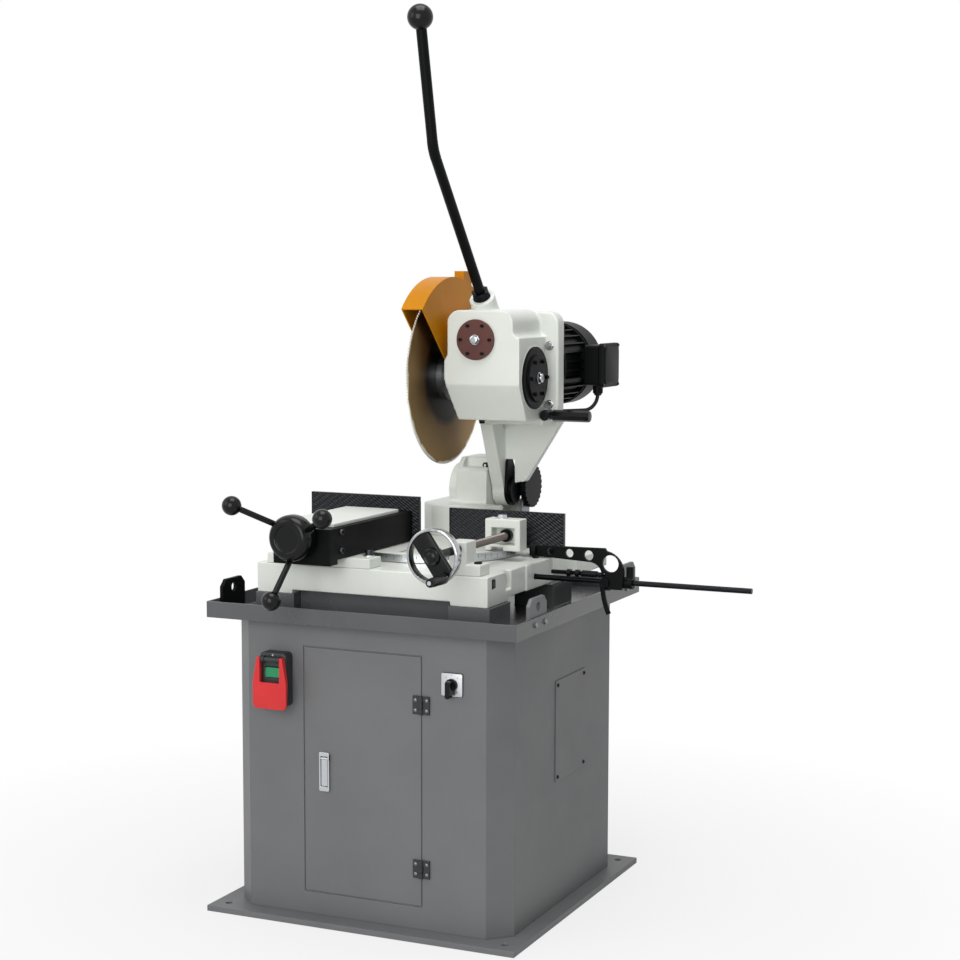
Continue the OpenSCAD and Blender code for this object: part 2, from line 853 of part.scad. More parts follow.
// Cast bed: feet on the posts, well for the blade, wings behind for the fences
module bed_casting() {
  step = 4;
  step_y = -91;
  hw = bed_w / 2;
  groove = [-185, -160];
  groove_low = bed_top - 37;
  groove_in = 12;
  key = [-251, -234];
  key_z = [bed_top - 26, bed_top - 8];
  pocket_w = bed_w / 2 - 60;
  pocket_top = bed_top - 20;
  color("#e3e7e0")
    difference() {
      union() {
        block(step - hw, hw - step, -bed_front, step_y, bed_under, bed_top);
        block(-hw, hw, step_y, bed_mid, bed_under, bed_top);
        block(-wing_w / 2, wing_w / 2, bed_mid, bed_back, bed_top - wing_t, bed_top);
        block(-hw, hw, bed_mid, bed_back, bed_under, bed_top - wing_t);
        for (p = posts)
          block(p[0] + step, p[0] + post_w - step, p[1], p[1] + p[2], bed_z, bed_under);
      }
      translate([0, table_y, well_z])
        cylinder(h = bed_h, r = well_r);
      translate([0, table_y, bed_z - 1])
        cylinder(h = bed_h, d = king_d);
      block(hw - step - groove_in, hw + 1, groove[0], groove[1], groove_low, bed_top + 1);
      block(hw - 2 * groove_in, hw + 1, key[0], key[1], key_z[0], key_z[1]);
      rod_x(hw - stop_inset, hw + 1, stop_y, stop_z, stop_d / 2 + fit);
      for (x = [30 - hw, hw - 30 - pocket_w])
        block(x, x + pocket_w, post_d / 2 + 16 - bed_front, -well_r + table_y - 16, bed_z - 1, pocket_top);
    }
}

// Fence castings, carried by feet on the bed's wings
module fence_bodies() {
  drop = 12;
  gap_end = 8;
  far_end = 30;
  foot_d = 28;
  color("#232425")
    for (side = [-1, 1]) {
      top = table_top + (side < 0 ? fence_left_h : fence_right_h) - drop;
      x0 = fence_gap / 2 + gap_end;
      x1 = fence_gap / 2 + fence_l - far_end;
      mirror([side < 0 ? 1 : 0, 0, 0]) {
        block(x0, x1, fence_y + fence_plate_t, fence_back, fence_low, top);
        block(fence_foot_x, x1, fence_back, fence_back + foot_d, bed_top, fence_low + 30);
      }
    }
}

// Serrated fence plates
module fence_plates() {
  color("#1e1f20")
    for (side = [-1, 1])
      mirror([side < 0 ? 1 : 0, 0, 0])
        block(fence_gap / 2, fence_gap / 2 + fence_l, fence_y, fence_y + fence_plate_t, fence_low,
          table_top + (side < 0 ? fence_left_h : fence_right_h));
}

// Swivel table with its blade slot and king pin, kept under the bed by a washer
module turntable() {
  washer_r = king_d / 2 + 10;
  washer_t = 6;
  slot_front = table_y - table_r + 21;
  slot_back = table_y + 18;
  color("#e3e7e0") {
    difference() {
      translate([0, table_y, table_z])
        cylinder(h = table_t, r = table_r);
      block(-slot_w / 2, slot_w / 2, slot_front, slot_back, table_z - 1, table_top + 1);
    }
    rod_z(bed_under - slip - washer_t, table_z, 0, table_y, king_d / 2 - fit);
    rod_z(bed_under - slip - washer_t, bed_under - slip, 0, table_y, washer_r);
  }
}

// Graduated ring round the table
module scale_ring() {
  inset = 1.2;
  color("#b9bcbd")
    translate([0, table_y, table_z + inset])
      difference() {
        cylinder(h = table_t - 2 * inset, r = table_r + ring_w);
        translate([0, 0, -1])
          cylinder(h = table_t + 2, r = table_r);
      }
}

// Column: broad base on the table, then the pivot block with a stop screw in its pocket
module column() {
  nose = column_hw - column_chamfer;
  cut = 27;
  barrel_l = 20;
  barrel_r = 55;
  pocket = [0, 13];
  screw_x = block_right - 8;
  color("#e3e7e0")
    difference() {
      union() {
        along_z(table_top, table_top + column_base_h)
          polygon([[-nose, column_front], [nose, column_front],
            [column_hw, column_front + column_chamfer], [column_hw, column_back],
            [-column_hw, column_back], [-column_hw, column_front + column_chamfer]]);
        along_x(block_x, block_right)
          polygon([[block_front, table_top + column_base_h], [block_front, block_top - cut],
            [block_front + cut, block_top], [column_back - 20, block_top],
            [column_back, block_top - 20], [column_back, table_top + column_base_h]]);
        rod_x(block_x - barrel_l, block_x, pivot_y, pivot_z, barrel_r);
      }
      rod_x(block_x - barrel_l - 1, block_right + 1, pivot_y, pivot_z, pivot_d / 2);
      block(block_x + pocket[1], block_right + 1, block_front - 1, block_front + cut + 6,
        block_top - cut + 6, block_top + 1);
      block(block_right, column_hw + 1, pivot_y - 62, pivot_y + 62, pivot_z - 62,
        table_top + column_base_h + 1);
      rod_x(block_right - 30, block_right + 1, spring_y, spring_z, 10 + fit);
    }
  color("#1c1d1e")
    rod_y(block_front + cut - 16, block_front + cut + 6, screw_x, block_top - cut + 12, 6);
}

// Vise base with its guide rail and the nut that stands on the rail
module vise_base() {
  x0 = -vise_x - vise_w / 2 - 39;
  nut = [30, 30];
  nut_top = vise_top - 1.3;
  nut_y = vise_front + 125;
  guide_y0 = bracket_front + 8;
  guide_y1 = vise_jaw_y - vise_jaw_t - 20;
  guide_top = vise_base_top + guide_h;
  color("#e3e7e0")
    difference() {
      union() {
        block(x0, 0, bracket_front, bracket_front + vise_base_d, bed_top, vise_base_top);
        block(-vise_x - guide_w / 2, guide_w / 2 - vise_x, guide_y0, guide_y1, vise_base_top, guide_top);
        block(-vise_x - nut[0] / 2, nut[0] / 2 - vise_x, nut_y, nut_y + nut[1], guide_top,
          nut_top);
      }
      rod_y(nut_y - 1, nut_y + nut[1] + 1, -vise_x, vise_axis_z, vise_screw_d / 2 + fit);
    }
}

// Vise carriage: two side walls, the jaw across their back and the front plate
module vise_carriage() {
  hw = vise_w / 2;
  front_drop = 9;
  front_in = 15;
  jaw_low = vise_base_top + guide_h + 0.6;
  screw_seat_r = vise_screw_d / 2 + fit;
  color("#1e1f20")
    translate([-vise_x, 0, 0])
      difference() {
        union() {
          block(-hw, vise_side_t - hw, vise_front, vise_jaw_y, vise_z, vise_top);
          block(hw - vise_side_t, hw, vise_front, vise_jaw_y, vise_z, vise_top);
          block(vise_side_t - hw, hw - vise_side_t, vise_jaw_y - vise_jaw_t, vise_jaw_y, jaw_low,
            vise_top);
          block(front_in - hw, hw, vise_front - vise_front_t, vise_front, vise_z - front_drop, vise_top);
        }
        rod_y(vise_front - vise_front_t - 1, vise_front + 1, 0, vise_axis_z, screw_seat_r);
        for (z = [vise_z + 17, vise_top - 10])
          rod_x(hw - 6, hw + 1, vise_front + 14, z, 5);
      }
}

// White cover plate on top of the carriage
module vise_cover() {
  inset = 9;
  color("#e3e7e0")
    along_z(vise_top, vise_top + vise_cover_t)
      translate([-vise_x, (vise_front + vise_jaw_y - vise_jaw_t) / 2])
        polygon(round_rect(vise_w - 2 * inset, vise_l - vise_jaw_t, 3));
}

// Vise hub with its screw
module vise_hub() {
  rim_y = hub_y - hub_neck_l;
  nose_y = rim_y - hub_rim_l;
  screw_end = vise_jaw_y - vise_jaw_t - 11;
  color("#1c1d1e") {
    rod_y(rim_y, hub_y, -vise_x, vise_axis_z, hub_d / 2 - 16);
    rod_y(nose_y, rim_y, -vise_x, vise_axis_z, hub_d / 2);
    translate([-vise_x, nose_y, vise_axis_z])
      rotate([90, 0, 0])
        cylinder(h = hub_nose_l, r1 = hub_d / 2, r2 = hub_nose_d / 2);
    rod_y(hub_y, screw_end, -vise_x, vise_axis_z, vise_screw_d / 2);
  }
}

// Spokes with ball knobs, leaning towards the operator
module vise_handles() {
  first = 25.5;
  root_r = hub_d / 2 - 4;
  root_y = hub_y - hub_neck_l - hub_rim_l + 2;
  reach = hub_reach - root_r;
  lean = root_y - ball_y;
  tilt = atan2(reach, lean);
  run = norm([reach, lean]);
  color("#1c1d1e")
    translate([-vise_x, root_y, vise_axis_z])
      rotate([90, 0, 0])
        for (i = [0 : 2])
          rotate([0, 0, first + 120 * i])
            translate([root_r, 0, 0])
              difference() {
                union() {
                  rotate([0, tilt, 0])
                    cylinder(h = run, d = spoke_d);
                  translate([reach, 0, lean])
                    sphere(d = vise_ball_d);
                }
                translate([-root_r, 0, -60])
                  cylinder(h = 60 + 2, r = hub_d / 2 + fit);
                translate([-root_r, 0, 2 - fit])
                  cylinder(h = hub_nose_l, r1 = hub_d / 2 + fit, r2 = hub_nose_d / 2 + fit);
              }
}

// Bracket whose threaded bore carries the side clamp's screw
module clamp_bracket() {
  top = clamp_z + 15;
  foot_l = 43;
  foot_r = 29;
  color("#e3e7e0")
    difference() {
      union() {
        block(clamp_x - bracket_w / 2, clamp_x + bracket_w / 2, bracket_front, bracket_front + bracket_d,
          bed_top, top);
        block(clamp_x - foot_l, clamp_x + bracket_w / 2 + foot_r, bracket_front, bracket_front + bracket_d,
          bed_top, bed_top + bracket_foot_h);
      }
      rod_y(bracket_front - 1, bracket_front + bracket_d + 1, clamp_x, clamp_z, clamp_screw_d / 2 + fit);
    }
}

// Clamp jaw: a frame with a window for the screw's end, and a bolt on top
module clamp_jaw() {
  window = [50, 34];
  back_t = 12;
  notch = [26, 7];
  mid = clamp_x - 1;
  bolt_r = 10;
  bolt_h = 7;
  low = clamp_low;
  color("#e3e7e0")
    difference() {
      block(mid - clamp_w / 2, mid + clamp_w / 2, clamp_front, clamp_back,
        low, low + clamp_h);
      block(clamp_x - window[0] / 2, clamp_x + window[0] / 2, clamp_front - 1, clamp_back - back_t,
        clamp_z - window[1] / 2, clamp_z + window[1] / 2);
      block(clamp_x - notch[0], clamp_x, clamp_front - 1, clamp_back + 1, low - 1, low + notch[1]);
    }
  color("#b4b6b7")
    rod_z(low + clamp_h, low + clamp_h + bolt_h, mid - 8, clamp_front + clamp_t / 2, bolt_r, 6);
}

// Clamp screw with its pressure collar in the jaw's window
module clamp_screw() {
  collar_r = 13;
  collar_t = 12;
  seat = clamp_back - 12 - slip;
  color("#2a2b2c") {
    rod_y(wheel_y, seat, clamp_x, clamp_z, clamp_screw_d / 2);
    rod_y(seat - collar_t, seat, clamp_x, clamp_z, collar_r);
  }
}

// Handwheel: deep rim, two-armed web, hub and crank pin
module handwheel() {
  hub_r = 18;
  hub_l = 22;
  web_t = 10;
  web_w = 34;
  pin_l = 20;
  rim = [7, 20];
  color("#c4c6c8")
    translate([clamp_x, wheel_y, clamp_z])
      rotate([90, 0, 0])
        rotate([0, 0, grip_angle])
          difference() {
            union() {
              rotate_extrude()
                translate([wheel_d / 2 - rim[0] / 2, wheel_rim_d / 2 - rim[1] / 2])
                  polygon(round_rect(rim[0], rim[1], 3));
              translate([-wheel_r, -web_w / 2, -web_t / 2])
                cube([2 * wheel_r, web_w, web_t]);
              translate([0, 0, -hub_l / 2])
                cylinder(h = hub_l, r = hub_r);
              translate([wheel_r, 0, 0])
                cylinder(h = pin_l, r = grip_pin_r);
            }
            translate([0, 0, -hub_l])
              cylinder(h = hub_l, r = clamp_screw_d / 2);
          }
}

// Turning grip on the handwheel's crank pin
module handwheel_grip() {
  y1 = wheel_y - wheel_rim_d / 2 - slip;
  at = [clamp_x, clamp_z] + polar(wheel_r, grip_angle);
  color("#222324")
    difference() {
      rod_y(y1 - grip_l, y1, at[0], at[1], grip_r);
      rod_y(wheel_y - 20 - slip, y1 + 1, at[0], at[1], grip_pin_r + fit);
    }
}

// Round stop rod, seated in the bed's side
module stop_rod() {
  color("#232425")
    rod_x(stop_x0 - stop_inset, stop_x0 + stop_l, stop_y, stop_z, stop_d / 2);
}

// Clamp block that slides on the stop rod
module stop_clamp() {
  ear = [14, 8, 32];
  x0 = stop_clamp_x - stop_clamp_w / 2;
  x1 = x0 + stop_clamp_w + ear[0];
  color("#1f2021")
    difference() {
      union() {
        rod_x(x0, x1, stop_y, stop_z, stop_clamp_r);
        block(x1 - ear[0], x1, stop_y - ear[1] / 2, stop_y + ear[1] / 2, stop_z, stop_z + ear[2]);
      }
      rod_x(x0 - 1, x1 + 1, stop_y, stop_z, stop_d / 2 + fit);
    }
}

// Stop arm: a drilled bar that curves down to a ring on the clamp block's left side
arm_ring_t = 10;
arm_x1 = stop_clamp_x - stop_clamp_w / 2 - slip;
arm_bar_z = stop_z + 55;
adjuster_z = arm_bar_z - 40;
adjuster_r = 4.5;
stop_lever_t = 6;
stop_pin_r = 4;
stop_pin_x = arm_x1 - 4;
module stop_arm() {
  bar_h = 21;
  x0 = stop_arm_x0 - arm_x1;
  ring_y1 = stop_y + stop_clamp_r;
  holes = [[-120, 1, 7.5], [-81, -1, 8.5], [-40, -3, 10]];
  pad_r = 16;
  pad_t = 9;
  color("#232425")
    difference() {
      union() {
        along_y(stop_arm_y - stop_arm_t / 2, stop_arm_y + stop_arm_t / 2)
          translate([arm_x1, arm_bar_z])
            polygon(concat([[x0, -bar_h / 2], [-40, -16]], arc([-38, -42], 26, 86, 10),
              [[-10, -68], [30, -68]], arc([-10, -36], 44, 0, 80), [[-6, 13], [x0, bar_h / 2]]));
        rod_x(stop_arm_x0 - pad_t, stop_arm_x0, stop_arm_y, arm_bar_z, pad_r);
        rod_y(stop_arm_y - stop_arm_t / 2 - stop_lever_t - slip, stop_arm_y, stop_pin_x, stop_z, stop_pin_r);
      }
      for (h = holes)
        rod_y(stop_arm_y - stop_arm_t, stop_arm_y + stop_arm_t, arm_x1 + h[0], arm_bar_z + h[1], h[2]);
      rod_y(stop_arm_y - stop_arm_t, stop_arm_y + stop_arm_t, arm_x1 + 6, arm_bar_z - 17, 17);
      rod_x(arm_x1 - 90, arm_x1 + 90, stop_y, stop_z, stop_clamp_r + slip);
      rod_x(arm_x1 - 20, arm_x1 - 5, stop_arm_y, adjuster_z, adjuster_r + fit);
    }
  color("#232425")
    difference() {
      rod_x(arm_x1 - arm_ring_t, arm_x1, stop_y, stop_z, stop_clamp_r + 6);
      rod_x(arm_x1 - 90, arm_x1 + 90, stop_y, stop_z, stop_d / 2 + fit);
    }
}

// Threaded fine adjuster with its nuts, beside the stop arm
module stop_adjuster() {
  x0 = stop_arm_x0 + 30;
  color("#1f2021") {
    rod_x(x0, arm_x1 - arm_ring_t - slip, stop_arm_y, adjuster_z, adjuster_r);
    for (x = [x0 + 34, x0 + 52])
      rod_x(x, x + 8, stop_arm_y, adjuster_z, 8, 6);
    rod_x(x0 + 66, arm_x1 - 22, stop_arm_y, adjuster_z, adjuster_r + 2);
  }
}

// Curved locking lever, hanging from a pin on the stop arm's front
module stop_lever() {
  y1 = stop_arm_y - stop_arm_t / 2 - slip;
  hub_r = 9;
  bend_r = 150;
  sweep = 25;
  color("#1f2021")
    difference() {
      along_y(y1 - stop_lever_t, y1)
        translate([stop_pin_x, stop_z])
          polygon(concat(arc([0, 0], hub_r, -60, 180), arc([bend_r - hub_r, 0], bend_r, 182, 180 + sweep),
            arc([bend_r - hub_r, 0], bend_r - hub_r, 180 + sweep, 183)));
      rod_y(y1 - 2 * stop_lever_t, y1 + 1, stop_pin_x, stop_z, stop_pin_r + fit);
    }
}

// Gearbox casting with the motor flange, the spindle boss and the lever boss
module gearbox_housing() {
  shoulder_z = spindle_z + 84;
  shoulder = 14;
  bulge = 6;
  slope_y = 38;
  w = gearbox_wall;
  mf_x0 = 45;
  mf_x1 = motor_x + 86;
  mf_low = gb_low;
  mf_top = gb_top - 4;
  color("#e3e7e0")
    difference() {
      union() {
        intersection() {
          along_x(0, gb_right + 50)
            polygon([[gb_front, gb_crease], [gb_front, gb_top], [gb_back, gb_top], [gb_back, gb_low],
              [gb_front + slope_y, gb_low]]);
          along_y(gb_front - 1, gb_back + 1)
            polygon(concat([[gb_left + 8, gb_low], [gb_right, gb_low]],
              arc([gb_right, shoulder_z + shoulder], shoulder, 270, 180),
              arc([gb_right - shoulder - gb_round, gb_top - gb_round], gb_round, 0, 90),
              arc([gb_left + gb_round, gb_top - gb_round], gb_round, 90, 180),
              [[gb_left, spindle_z + 46], [gb_left - bulge, spindle_z + 36],
                [gb_left - bulge, spindle_z - 4]]));
        }
        along_y(mf_y0, mf_y1)
          translate([(mf_x0 + mf_x1) / 2, (mf_low + mf_top) / 2])
            polygon(round_rect(mf_x1 - mf_x0, mf_top - mf_low, 26));
        rod_x(gb_right - 1, gb_right + boss_l, spindle_y, spindle_z, boss_r);
        head_arm();
        translate([lever_x, lever_foot[0], lever_foot[1]])
          rotate([lever_lean, 0, 0])
            translate([0, 0, -lever_boss_l])
              cylinder(h = lever_boss_l, r = lever_boss_r);
      }
      along_x(gb_left + w + 6, gb_right - w - shoulder)
        polygon([[gb_front + w, gb_crease + 4], [gb_front + w, gb_top - w - 24],
          [gb_back - 4, gb_top - w - 24],
          [gb_back - 4, gb_low + w], [gb_front + slope_y + w - 2, gb_low + w]]);
      rod_x(0, gb_right + boss_l + 1, spindle_y, spindle_z, spindle_bearing_r);
      rod_x(block_right, block_right + arm_w + 4, pivot_y, pivot_z, pivot_d / 2);
      along_x(block_right + 2 + arm_w, block_right + 2 + arm_w + 3 * pivot_plate_t)
        pivot_plate_outline(1);
      rod_y(gb_front - 1, gear_y0 - 2, worm_x, worm_z, worm_bearing_r);
      rod_y(gear_y0 - 3, mf_y1 + 1, worm_x, worm_z, gear_r + 5);
      rod_y(gear_y0 - 3, mf_y1 + 1, motor_x, motor_z, pinion_r + 5);
      translate([lever_x, lever_foot[0], lever_foot[1]])
        rotate([lever_lean, 0, 0])
          translate([0, 0, -lever_boss_l / 2])
            cylinder(h = lever_boss_l, r = lever_d / 2 + fit);
    }
}

// Arm under the gearbox: the slanting bar, the broad web and the pivot boss
module head_arm() {
  boss_r = 35;
  x0 = block_right + 2;
  x1 = x0 + arm_w;
  web_y = [pivot_y - 27, pivot_y - 9];
  tie_t = 14;
  lap = 1;
  web_drop = 50;
  along_x(x0, x1)
    polygon([[pivot_y - 34, pivot_z + 2], [pivot_y + 34, pivot_z + 4], [pivot_y + 4, pivot_z + 100],
      [mf_y1, gb_low + lap], [mf_y1 - 44, gb_low + lap]]);
  rod_x(x0, x1, pivot_y, pivot_z, boss_r);
  along_y(web_y[0], web_y[1])
    polygon([[x1 - lap, pivot_z + 14], [x1 + 48, pivot_z + 22], [motor_x + 70, gb_low - 6],
      [motor_x + 70, gb_low], [x0, gb_low], [x0, gb_low - web_drop], [x1 - lap, gb_low - web_drop]]);
  block(x0, gb_right, mf_y1 - 44, web_y[1], gb_low - tie_t, gb_low);
  block(x0, gb_right, mf_y1 - 44, mf_y1 - 2, gb_low - lap, gb_low + lap);
}

// Front cover of the worm shaft and side cover of the spindle
module worm_cover() {
  color("#5a2e26")
    difference() {
      rod_y(gb_front - worm_cover_t, gb_front, worm_x, worm_z, worm_cover_d / 2);
      rod_y(gb_front - worm_cover_t - 1, gb_front + 1, worm_x, worm_z, 9);
    }
}
module spindle_cover() {
  x0 = gb_right + boss_l;
  color("#222324")
    difference() {
      rod_x(x0, x0 + cover_t, spindle_y, spindle_z, spindle_cover_d / 2);
      rod_x(x0 - 1, x0 + cover_t + 1, spindle_y, spindle_z, 11);
    }
}

// Cover screws, motor flange bolts and the lever's lock nut
module head_fasteners() {
  x0 = gb_right + boss_l + cover_t;
  y0 = gb_front - worm_cover_t;
  bolt_r = 9;
  color("#3a3b3c")
    for (i = [0 : 5]) {
      p = polar(worm_cover_d / 2 - 9, 60 * i);
      rod_y(y0 - screw_h, y0, worm_x + p[0], worm_z + p[1], screw_r);
      q = polar(spindle_cover_d / 2 - 11, 60 * i);
      rod_x(x0, x0 + screw_h + 2, spindle_y + q[0], spindle_z + q[1], screw_r + 0.5);
    }
  color("#b4b6b7")
    for (z = [gb_low + 30, gb_low + 152])
      rod_y(mf_y0 - 8, mf_y0, gb_right + 9, z, bolt_r, 6);
  color("#1c1d1e")
    translate([lever_x, lever_foot[0], lever_foot[1]])
      rotate([lever_lean, 0, 0])
        difference() {
          cylinder(h = lever_nut_h, d = lever_nut_af / cos(30), $fn = 6);
          translate([0, 0, -1])
            cylinder(h = lever_nut_h + 2, r = lever_d / 2 + fit);
        }
}

// Worm shaft with its gear in the flange chamber and its nut in the front cover
module worm_shaft() {
  nut_r = 8;
  color("#a9abad") {
    rod_y(gb_front - worm_cover_t - 8, gb_front + 2, worm_x, worm_z, nut_r);
    rod_y(gb_front + 1, gear_y0 + gear_t, worm_x, worm_z, worm_shaft_r);
    rod_y(spindle_y - 32, spindle_y + 32, worm_x, worm_z, worm_r);
    along_y(gear_y0, gear_y0 + gear_t)
      translate([worm_x, worm_z])
        polygon(gear_outline(gear_teeth, gear_r, 1.8, 2.6, gear_line));
  }
}

// Bronze worm wheel on the spindle
module worm_wheel() {
  half = 13;
  color("#a57a3c")
    difference() {
      along_x(worm_x - half, worm_x + half)
        translate([spindle_y, spindle_z])
          polygon(gear_outline(wheel_teeth, worm_wheel_r - 2, 2, 3, 0));
      rod_x(worm_x - half - 1, worm_x + half + 1, spindle_y, spindle_z, spindle_d / 2 + fit);
    }
}

// Spindle with the fixed blade flange, the threaded nose and the nut end in the side cover
module spindle() {
  nose_r = 16;
  nut_r = 9;
  color("#a9abad") {
    rod_x(-24, blade_t / 2 + 8, spindle_y, spindle_z, nose_r);
    rod_x(blade_t / 2, blade_t / 2 + 12, spindle_y, spindle_z, flange_d / 2);
    rod_x(blade_t / 2 + 6, gb_left - 4, spindle_y, spindle_z, spindle_d / 2 + 3);
    rod_x(gb_left - 6, gb_right + boss_l - 1, spindle_y, spindle_z, spindle_d / 2);
    rod_x(gb_right, gb_right + boss_l + cover_t + 7, spindle_y, spindle_z, nut_r);
  }
}

// Ball bearings of the spindle and of the worm shaft, as whole rings
module bearings() {
  spindle_xs = [gb_left + 1, gb_right + boss_l - 1 - spindle_bearing_t];
  worm_ys = [gb_front + 2, gear_y0 - 2 - worm_bearing_t];
  color("#9b9da0") {
    for (x = spindle_xs)
      difference() {
        rod_x(x, x + spindle_bearing_t, spindle_y, spindle_z, spindle_bearing_r - fit);
        rod_x(x - 1, x + spindle_bearing_t + 1, spindle_y, spindle_z, spindle_d / 2 + fit);
      }
    for (y = worm_ys)
      difference() {
        rod_y(y, y + worm_bearing_t, worm_x, worm_z, worm_bearing_r - fit);
        rod_y(y - 1, y + worm_bearing_t + 1, worm_x, worm_z, worm_shaft_r + fit);
      }
  }
}

// Finned motor housing with its end plates and the pad for the terminal box
module motor_body() {
  plate_t = 8;
  pad = [60, 62];
  color("#1c1d1e")
    difference() {
      union() {
        rod_y(motor_y0, motor_y1 + motor_end_t, motor_x, motor_z, motor_core_r);
        rod_y(motor_y0, motor_y0 + plate_t, motor_x, motor_z, motor_d / 2);
        rod_y(motor_y1, motor_y1 + motor_end_t, motor_x, motor_z, motor_d / 2);
        for (i = [0 : fin_n - 1])
          translate([motor_x, 0, motor_z])
            rotate([0, 360 * (i + 0.5) / fin_n, 0])
              translate([motor_core_r - 4, motor_y0 + 2, -fin_t / 2])
                cube([motor_d / 2 - motor_core_r + 3, motor_y1 - motor_y0, fin_t]);
        block(motor_x + motor_core_r - 10, box_x0, box_y0 + 12, min(box_y0 + 12 + pad[0], motor_y1 - 1),
          motor_z - pad[1] / 2, motor_z + pad[1] / 2);
      }
      rod_y(motor_y0 + plate_t, motor_y1 + motor_end_t - plate_t, motor_x, motor_z, motor_bore_r);
      rod_y(motor_y0 - 1, motor_y1 + motor_end_t + 1, motor_x, motor_z, rotor_shaft_r + fit);
    }
}

// Rotor with its pinion in front and its fan behind
module motor_rotor() {
  fan_r = 66;
  fan_y = motor_y1 + motor_end_t + 10;
  blades = 8;
  color("#8f9193") {
    rod_y(gear_y0 - 1, fan_y + 22, motor_x, motor_z, rotor_shaft_r);
    rod_y(motor_y0 + 24, motor_y1 - 16, motor_x, motor_z, rotor_r);
    along_y(gear_y0, gear_y0 + gear_t)
      translate([motor_x, motor_z])
        polygon(gear_outline(pinion_teeth, pinion_r, 1.8, 2.6, gear_line + 180 + 180 / pinion_teeth));
    rod_y(fan_y, fan_y + 4, motor_x, motor_z, fan_r);
    for (i = [0 : blades - 1])
      translate([motor_x, 0, motor_z])
        rotate([0, 360 * i / blades, 0])
          translate([rotor_shaft_r - 2, fan_y + 2, -1.5])
            cube([fan_r - rotor_shaft_r, 20, 3]);
  }
}

// Fan cover with ring slots in its back
module fan_cover() {
  skin = 2;
  r = motor_d / 2 + skin + fit;
  y0 = motor_y1 + motor_end_t - 6;
  slots = 12;
  color("#1e1f20")
    difference() {
      rod_y(y0, fan_y1, motor_x, motor_z, r);
      rod_y(y0 - 1, fan_y1 - skin, motor_x, motor_z, r - skin);
      for (i = [0 : slots - 1])
        translate([motor_x, 0, motor_z])
          rotate([0, 360 * i / slots, 0])
            translate([26, fan_y1 - skin - 1, -4])
              cube([44, skin + 2, 8]);
    }
}

// Terminal box beside the motor, with its lid and the glands at both ends of the lead
lead_start = [box_x0 + box_w - 12.5, box_y0 + 28, motor_z - box_h / 2 - 1 - gland_l];
lead_end = [motor_x + 62, mf_y1 + 42, lead_start[2] - lead_bend];
module terminal_box() {
  color("#1f2021") {
    along_x(box_x0, box_x0 + box_w)
      translate([box_y0 + box_d / 2, motor_z - 1])
        polygon(round_rect(box_d, box_h, 6));
    along_x(box_x0 + box_w, box_x0 + box_w + lid_t)
      translate([box_y0 + box_d / 2, motor_z - 1])
        polygon(round_rect(box_d + 10, box_h + 8, 8));
    rod_z(lead_start[2], lead_start[2] + gland_l + 1, lead_start[0], lead_start[1], gland_r, 12);
  }
  color("#1f2021")
    rod_y(mf_y1, lead_end[1], lead_end[0], lead_end[2], gland_r - 2, 12);
}

// Rings of a tube swept along a route of points
function unit(v) = v / norm(v);
function lead_ring(p, dir, r, n) = let (u = unit(cross(dir, [1, 0.2, 0.1])), v = cross(u, dir))
  [for (k = [0 : n - 1]) p + r * (cos(360 * k / n) * u + sin(360 * k / n) * v)];
module tube(path, dirs, r, n) {
  rings = [for (i = [0 : len(path) - 1]) lead_ring(path[i], dirs[i], r, n)];
  last = (len(path) - 1) * n;
  points = concat([for (ring = rings) for (p = ring) p], [path[0]], [path[len(path) - 1]]);
  start = len(points) - 2;
  finish = len(points) - 1;
  sides = [for (i = [0 : len(path) - 2]) for (k = [0 : n - 1]) let (a = i * n + k, b = i * n + (k + 1) % n)
    each [[a, a + n, b + n], [a, b + n, b]]];
  caps = [for (k = [0 : n - 1]) each [[start, k, (k + 1) % n], [finish, last + (k + 1) % n, last + k]]];
  polyhedron(points = points, faces = concat(sides, caps));
}

// Motor lead: turns from down to level, runs straight and turns into the flange plate's gland
module motor_lead() {
  run = [lead_start[0] - lead_end[0] - lead_bend, lead_start[1] - lead_end[1]];
  turn = atan2(run[0], run[1]) + asin(lead_bend / norm(run));
  level = [-sin(turn), -cos(turn), 0];
  downs = [for (a = [0 : 15 : 90]) a];
  sides = [for (i = [0 : 3]) turn * (1 - i / 3)];
  path = concat([for (a = downs) lead_start + lead_bend * ((1 - cos(a)) * level - [0, 0, sin(a)])],
    [for (b = sides) lead_end + lead_bend * [1 - cos(b), sin(b), 0]]);
  dirs = concat([for (a = downs) sin(a) * level - [0, 0, cos(a)]], [for (b = sides) [-sin(b), -cos(b), 0]]);
  color("#161718")
    tube(path, dirs, lead_r, 10);
}

// Saw blade
module blade() {
  tooth = 2.2;
  color("#8f7445")
    difference() {
      along_x(-blade_t / 2, blade_t / 2)
        translate([spindle_y, spindle_z])
          polygon([for (i = [0 : blade_teeth - 1])
            each [polar(blade_d / 2, 360 * i / blade_teeth),
              polar(blade_d / 2 - tooth, 360 * (i + 0.3) / blade_teeth)]]);
      rod_x(-blade_t, blade_t, spindle_y, spindle_z, 16 + fit);
    }
}

// Loose blade flange with its nut
module blade_flange() {
  flange_t = 8;
  nut_t = 10;
  color("#232425")
    difference() {
      union() {
        rod_x(-blade_t / 2 - flange_t, -blade_t / 2, spindle_y, spindle_z, flange_d / 2);
        rod_x(-blade_t / 2 - flange_t - nut_t, -blade_t / 2 - flange_t, spindle_y, spindle_z, 27, 6);
      }
      rod_x(-30, 0, spindle_y, spindle_z, 16 + fit);
    }
}

